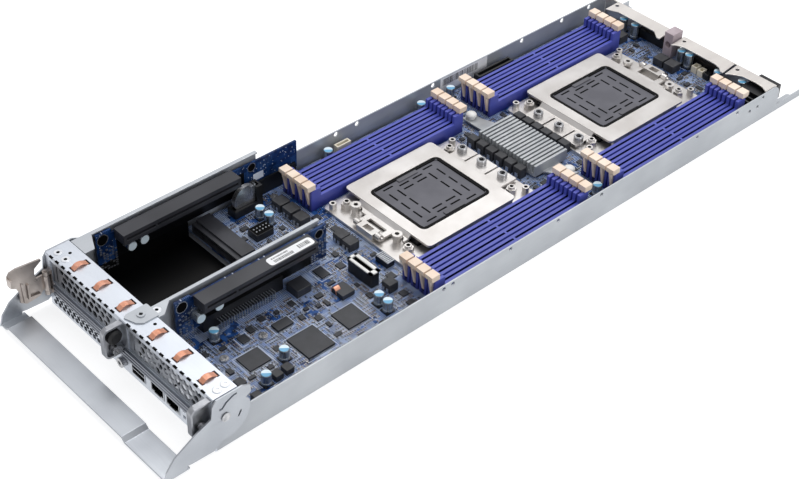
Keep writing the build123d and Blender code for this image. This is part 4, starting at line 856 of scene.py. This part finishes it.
# %% [markdown]
# ## Where parts can stand on the board
# Hundreds of small parts fill the free ground of the board. To find that ground, points are scattered over
# every CAD triangle above the board and marked on a grid of 1 mm cells. A small part may stand where no
# cell near it is marked.

# %% Free ground on the board
GRID_LOW = -84.0
GRID_SIZE = (168, 540)
BOARD_HALF, BOARD_START, BOARD_END = 80.0, 22.0, 511.0
BAY_RIGHT, BAY_END = -4.0, 104.5
CAN_ROOM = 4.6
taken = np.zeros(GRID_SIZE, bool)


def scatter(node, per_mm2=6.0):
    """Points spread evenly over a node's triangles: shares u and v, folded so that u + v stays below 1."""
    mesh = node.data
    mesh.calc_loop_triangles()
    corners = np.empty(len(mesh.vertices) * 3, np.float32)
    mesh.vertices.foreach_get("co", corners)
    index = np.empty(len(mesh.loop_triangles) * 3, np.int32)
    mesh.loop_triangles.foreach_get("vertices", index)
    triangles = corners.reshape(-1, 3)[index.reshape(-1, 3)] * 1000 + [0, FACE_TO_ORIGIN, 0]
    side_a, side_b = triangles[:, 1] - triangles[:, 0], triangles[:, 2] - triangles[:, 0]
    area = np.linalg.norm(np.cross(side_a, side_b), axis=1) / 2
    which = np.repeat(np.arange(len(area)), np.ceil(area * per_mm2).astype(int))
    u, v = dice.random(len(which)), dice.random(len(which))
    fold = u + v > 1
    u, v = np.where(fold, 1 - u, u), np.where(fold, 1 - v, v)
    return triangles[which, 0] + u[:, None] * side_a[which] + v[:, None] * side_b[which]


for name, node in nodes.items():
    if name in ("mainboard", "tray", "front_panel"):
        continue
    spots = scatter(node)
    spots = spots[spots[:, 2] > BOARD_TOP + 0.1]
    cells = np.floor(spots[:, :2] - [GRID_LOW, 0.0]).astype(int)
    inside = ((cells >= 0) & (cells < GRID_SIZE)).all(1)
    taken[tuple(cells[inside].T)] = True
middles = [low + 0.5 + np.arange(size) for low, size in zip((GRID_LOW, 0.0), GRID_SIZE)]
x_cell, y_cell = np.meshgrid(*middles, indexing="ij")
taken |= (abs(x_cell) > BOARD_HALF) | (y_cell < BOARD_START) | (y_cell > BOARD_END)
taken |= (x_cell < BAY_RIGHT) & (y_cell < BAY_END)
taken |= (np.hypot(x_cell[..., None] - CANS[:, 0], y_cell[..., None] - CANS[:, 1]) < CAN_ROOM).any(-1)
near_taken = taken.copy()
for axis in (0, 1):
    for step in (-1, 1):
        near_taken |= np.roll(taken, step, axis)
print("free ground:", int((~near_taken).sum()), "mm2")

# %% [markdown]
# ## Small parts
# Resistors and ceramic capacitors are tiny bricks with tinned ends, laid in neat rows by a machine. The
# board is cut into patches of 8 mm; each patch picks one direction, one kind and the share of its places
# that it keeps. Real ones are about 1.6 mm long, and these are drawn so too.

# %% Resistors and capacitors
PATCH = 8.0
LONG, SHORT, TALL, END = 1.7, 0.9, 0.55, 0.42
PITCH_LONG, PITCH_SHORT = 2.7, 1.6
DARK_SHARE = 0.6
PATCHES = (22, 68)
kind_of = dice.random(PATCHES)
turn_of = dice.random(PATCHES) > 0.5
fill_of = dice.uniform(0.3, 1.0, PATCHES)
dark_bodies, tan_bodies, ends = [], [], []
for crosswise in (False, True):
    along = np.array([1.0, 0.0]) if crosswise else np.array([0.0, 1.0])
    pitch = np.where(along > 0, PITCH_LONG, PITCH_SHORT)
    size = np.where(along > 0, LONG, SHORT)
    gx, gy = np.meshgrid(np.arange(-BOARD_HALF, BOARD_HALF, pitch[0]),
                         np.arange(BOARD_START, BOARD_END, pitch[1]), indexing="ij")
    spots = np.column_stack([gx.ravel(), gy.ravel()])
    patch = ((spots - [GRID_LOW, 0.0]) // PATCH).astype(int)
    want = (turn_of[tuple(patch.T)] == crosswise) & (dice.random(len(spots)) < fill_of[tuple(patch.T)])
    for dx in (-1.0, 0.0, 1.0):
        for dy in (-1.0, 0.0, 1.0):
            cells = np.floor(spots + [dx - GRID_LOW, dy]).astype(int)
            want &= ~taken[tuple(cells.T)]
    spots, kind = spots[want], kind_of[tuple(patch[want].T)]
    core = size - 2 * END * along
    for bodies, chosen in ((dark_bodies, kind < DARK_SHARE), (tan_bodies, kind >= DARK_SHARE)):
        bodies.append(standing(*spots[chosen].T, *core, BOARD_TOP, BOARD_TOP + TALL))
    cap = np.where(along > 0, END, size)
    for sign in (-1, 1):
        middle = spots + sign * along * (LONG - END) / 2
        ends.append(standing(*middle.T, *cap, BOARD_TOP, BOARD_TOP + TALL + 0.03))
build("small_parts_dark", joined(dark_bodies), dark_glaze)
build("small_parts_tan", joined(tan_bodies), tan_ceramic)
tinned("small_part_ends", joined(ends))
print("small parts:", sum(len(points) for points, _ in ends) // 16)

# %% [markdown]
# ## Small packages with legs
# Between the bricks stand flat black packages of 2.4 to 5.6 mm with legs on two sides, and white outlines are
# printed round them. Places are tried in a random order and kept where the ground under the whole package
# is free.

# %% Small packages and printed outlines
TRIES, MOST, LEG_ROOM = 6000, 260, 1.2
# ranges of x, y, width and depth
SPANS = [(-78, 78), (24, 508), (2.4, 5.6), (2.4, 5.6)]
blocked = near_taken.copy()
packages = []
for x, y, w, d in zip(*[dice.uniform(low, high, TRIES) for low, high in SPANS]):
    i0, i1 = int(x - w / 2 - LEG_ROOM - GRID_LOW), int(x + w / 2 + LEG_ROOM - GRID_LOW) + 1
    j0, j1 = int(y - d / 2 - LEG_ROOM), int(y + d / 2 + LEG_ROOM) + 1
    if len(packages) < MOST and not blocked[i0:i1, j0:j1].any():
        blocked[i0:i1, j0:j1] = True
        packages.append((x, y, w, d))
x, y, w, d = np.array(packages).T
height = dice.uniform(0.9, 1.6, len(packages))
build("small_packages", standing(x, y, w, d, BOARD_TOP, BOARD_TOP + height), epoxy)
leg_x = x[:, None] + w[:, None] * np.linspace(-0.36, 0.36, 5)
tinned("package_legs", standing(leg_x, y[:, None], 0.4, d[:, None] + 1.5, BOARD_TOP, BOARD_TOP + 0.35))


def outlines(x, y, w, d, line=0.25):
    """Four thin strips round each rectangle."""
    strips = [(x + sign * w / 2, y, line, d) for sign in (-1, 1)]
    strips += [(x, y + sign * d / 2, w, line) for sign in (-1, 1)]
    return joined([standing(*strip, BOARD_TOP - 0.02, BOARD_TOP + 0.03) for strip in strips])


build("printed_outlines", outlines(x, y, w + 1.4, d + 2.2), white_ink)
print("small packages:", len(packages))

# %% [markdown]
# ## Legs of the large packages
# The large controllers have a fringe of fine legs on all four sides. They are drawn 0.9 mm apart, about
# twice as coarse as the real ones, so that they show from here.

# %% Legs of the large packages
# x, y, width and depth
CHIPS = np.array([(45.8, 58.0, 14.0, 16.0), (56.6, 93.3, 21.6, 20.6), (54.9, 126.4, 17.0, 16.8),
                  (33.2, 90.3, 7.2, 12.2), (27.7, 64.6, 6.6, 6.0), (11.6, 139.8, 9.6, 6.8)])
FRINGE_PITCH, LEG_LONG, LEG_WIDE = 0.9, 0.9, 0.4
legs = []
for x, y, w, d in CHIPS:
    across = np.arange(-w / 2 + 0.8, w / 2 - 0.6, FRINGE_PITCH)
    along = np.arange(-d / 2 + 0.8, d / 2 - 0.6, FRINGE_PITCH)
    for sign in (-1, 1):
        legs.append(standing(x + across, y + sign * (d / 2 + LEG_WIDE), LEG_WIDE, LEG_LONG, BOARD_TOP,
                             BOARD_TOP + 0.5))
        legs.append(standing(x + sign * (w / 2 + LEG_WIDE), y + along, LEG_LONG, LEG_WIDE, BOARD_TOP,
                             BOARD_TOP + 0.5))
tinned("package_fringes", joined(legs))
x, y, w, d = CHIPS.T
build("package_outlines", outlines(x, y, w + 3.2, d + 3.2, 0.4), white_ink)
print("legs:", sum(len(points) for points, _ in legs) // 8)

# %% [markdown]
# ## Floor and light
# The photograph is a catalogue picture: a white ground, soft light from above and hardly any shadow. A
# large soft lamp overhead and an even white world do the same. The floor is brighter to the camera and to
# mirrors than to the object, and the world is brighter to the camera, which keeps the ground white without
# more light on the tray.

# %% Floor, world and lamps
FLOOR_HALF, FLOOR_TOP = 6.0, -0.0004
PAPER_GLOW, WORLD_LIGHT = 0.74, 0.62
floor_mesh = bpy.data.meshes.new("floor")
corners = [(i * FLOOR_HALF, j * FLOOR_HALF, FLOOR_TOP) for i, j in ((-1, -1), (1, -1), (1, 1), (-1, 1))]
floor_mesh.from_pydata(corners, [], [(0, 1, 2, 3)])
floor = bpy.data.objects.new("floor", floor_mesh)
bpy.context.scene.collection.objects.link(floor)
# white paper: adds a glow only for camera, glossy and transmission rays, so its shadows stay
paper = bpy.data.materials.new("white_paper_floor")
paper.use_nodes = True
tree = paper.node_tree
tree.nodes.clear()
path = add(tree, "LightPath", {})
seen = add(tree, "Math", {"operation": "MAXIMUM", 0: path["Is Camera Ray"], 1: path["Is Glossy Ray"]})[0]
seen = add(tree, "Math", {"operation": "MAXIMUM", 0: seen, 1: path["Is Transmission Ray"]})[0]
place = add(tree, "TexCoord", {})["Object"]
fibres = add(tree, "TexNoise", {"Vector": place, "Scale": 400.0, "Detail": 1.0})["Fac"]
tone = add(tree, "Mix", {"data_type": "RGBA", 0: fibres, 6: "#B2B3B4", 7: "#B8B9BA"})[2]
diffuse = add(tree, "BsdfDiffuse", {"Color": tone})[0]
glow = add(tree, "Math", {"operation": "MULTIPLY", 0: seen, 1: PAPER_GLOW})[0]
light = add(tree, "Emission", {"Color": "#FFFFFF", "Strength": glow})[0]
add(tree, "OutputMaterial", {"Surface": add(tree, "AddShader", {0: diffuse, 1: light})[0]})
floor_mesh.materials.append(paper)

world = bpy.data.worlds.new("world")
bpy.context.scene.world = world
world.use_nodes = True
tree = world.node_tree
tree.nodes.clear()
path = add(tree, "LightPath", {})
seen = add(tree, "Math", {"operation": "MAXIMUM", 0: path["Is Camera Ray"],
                          1: path["Is Transmission Ray"]})[0]
dim = add(tree, "Background", {"Color": "#FCFCFF", "Strength": WORLD_LIGHT})[0]
full = add(tree, "Background", {"Color": "#FFFFFF", "Strength": 1.0})[0]
add(tree, "OutputWorld", {"Surface": add(tree, "MixShader", {0: seen, 1: dim, 2: full})[0]})


def lamp(name, place, size, watts):
    """A square soft lamp at place, in metres, whose face looks at the origin."""
    data = bpy.data.lights.new(name, "AREA")
    data.shape = "SQUARE"
    data.size = size
    data.energy = watts
    thing = bpy.data.objects.new(name, data)
    bpy.context.scene.collection.objects.link(thing)
    away = np.array(place) / np.linalg.norm(place)
    side = np.cross([0.0, 1.0, 0.0], away)
    side = side / np.linalg.norm(side)
    turn = np.eye(4)
    turn[:3, 0], turn[:3, 1], turn[:3, 2], turn[:3, 3] = side, np.cross(away, side), away, place
    thing.matrix_world = Matrix(turn.tolist())


lamp("lamp_top", (-0.3, 0.5, 1.6), 1.4, 17.0)
lamp("lamp_side", (1.5, 0.2, 0.7), 0.9, 5.0)
print("lamps: 2")
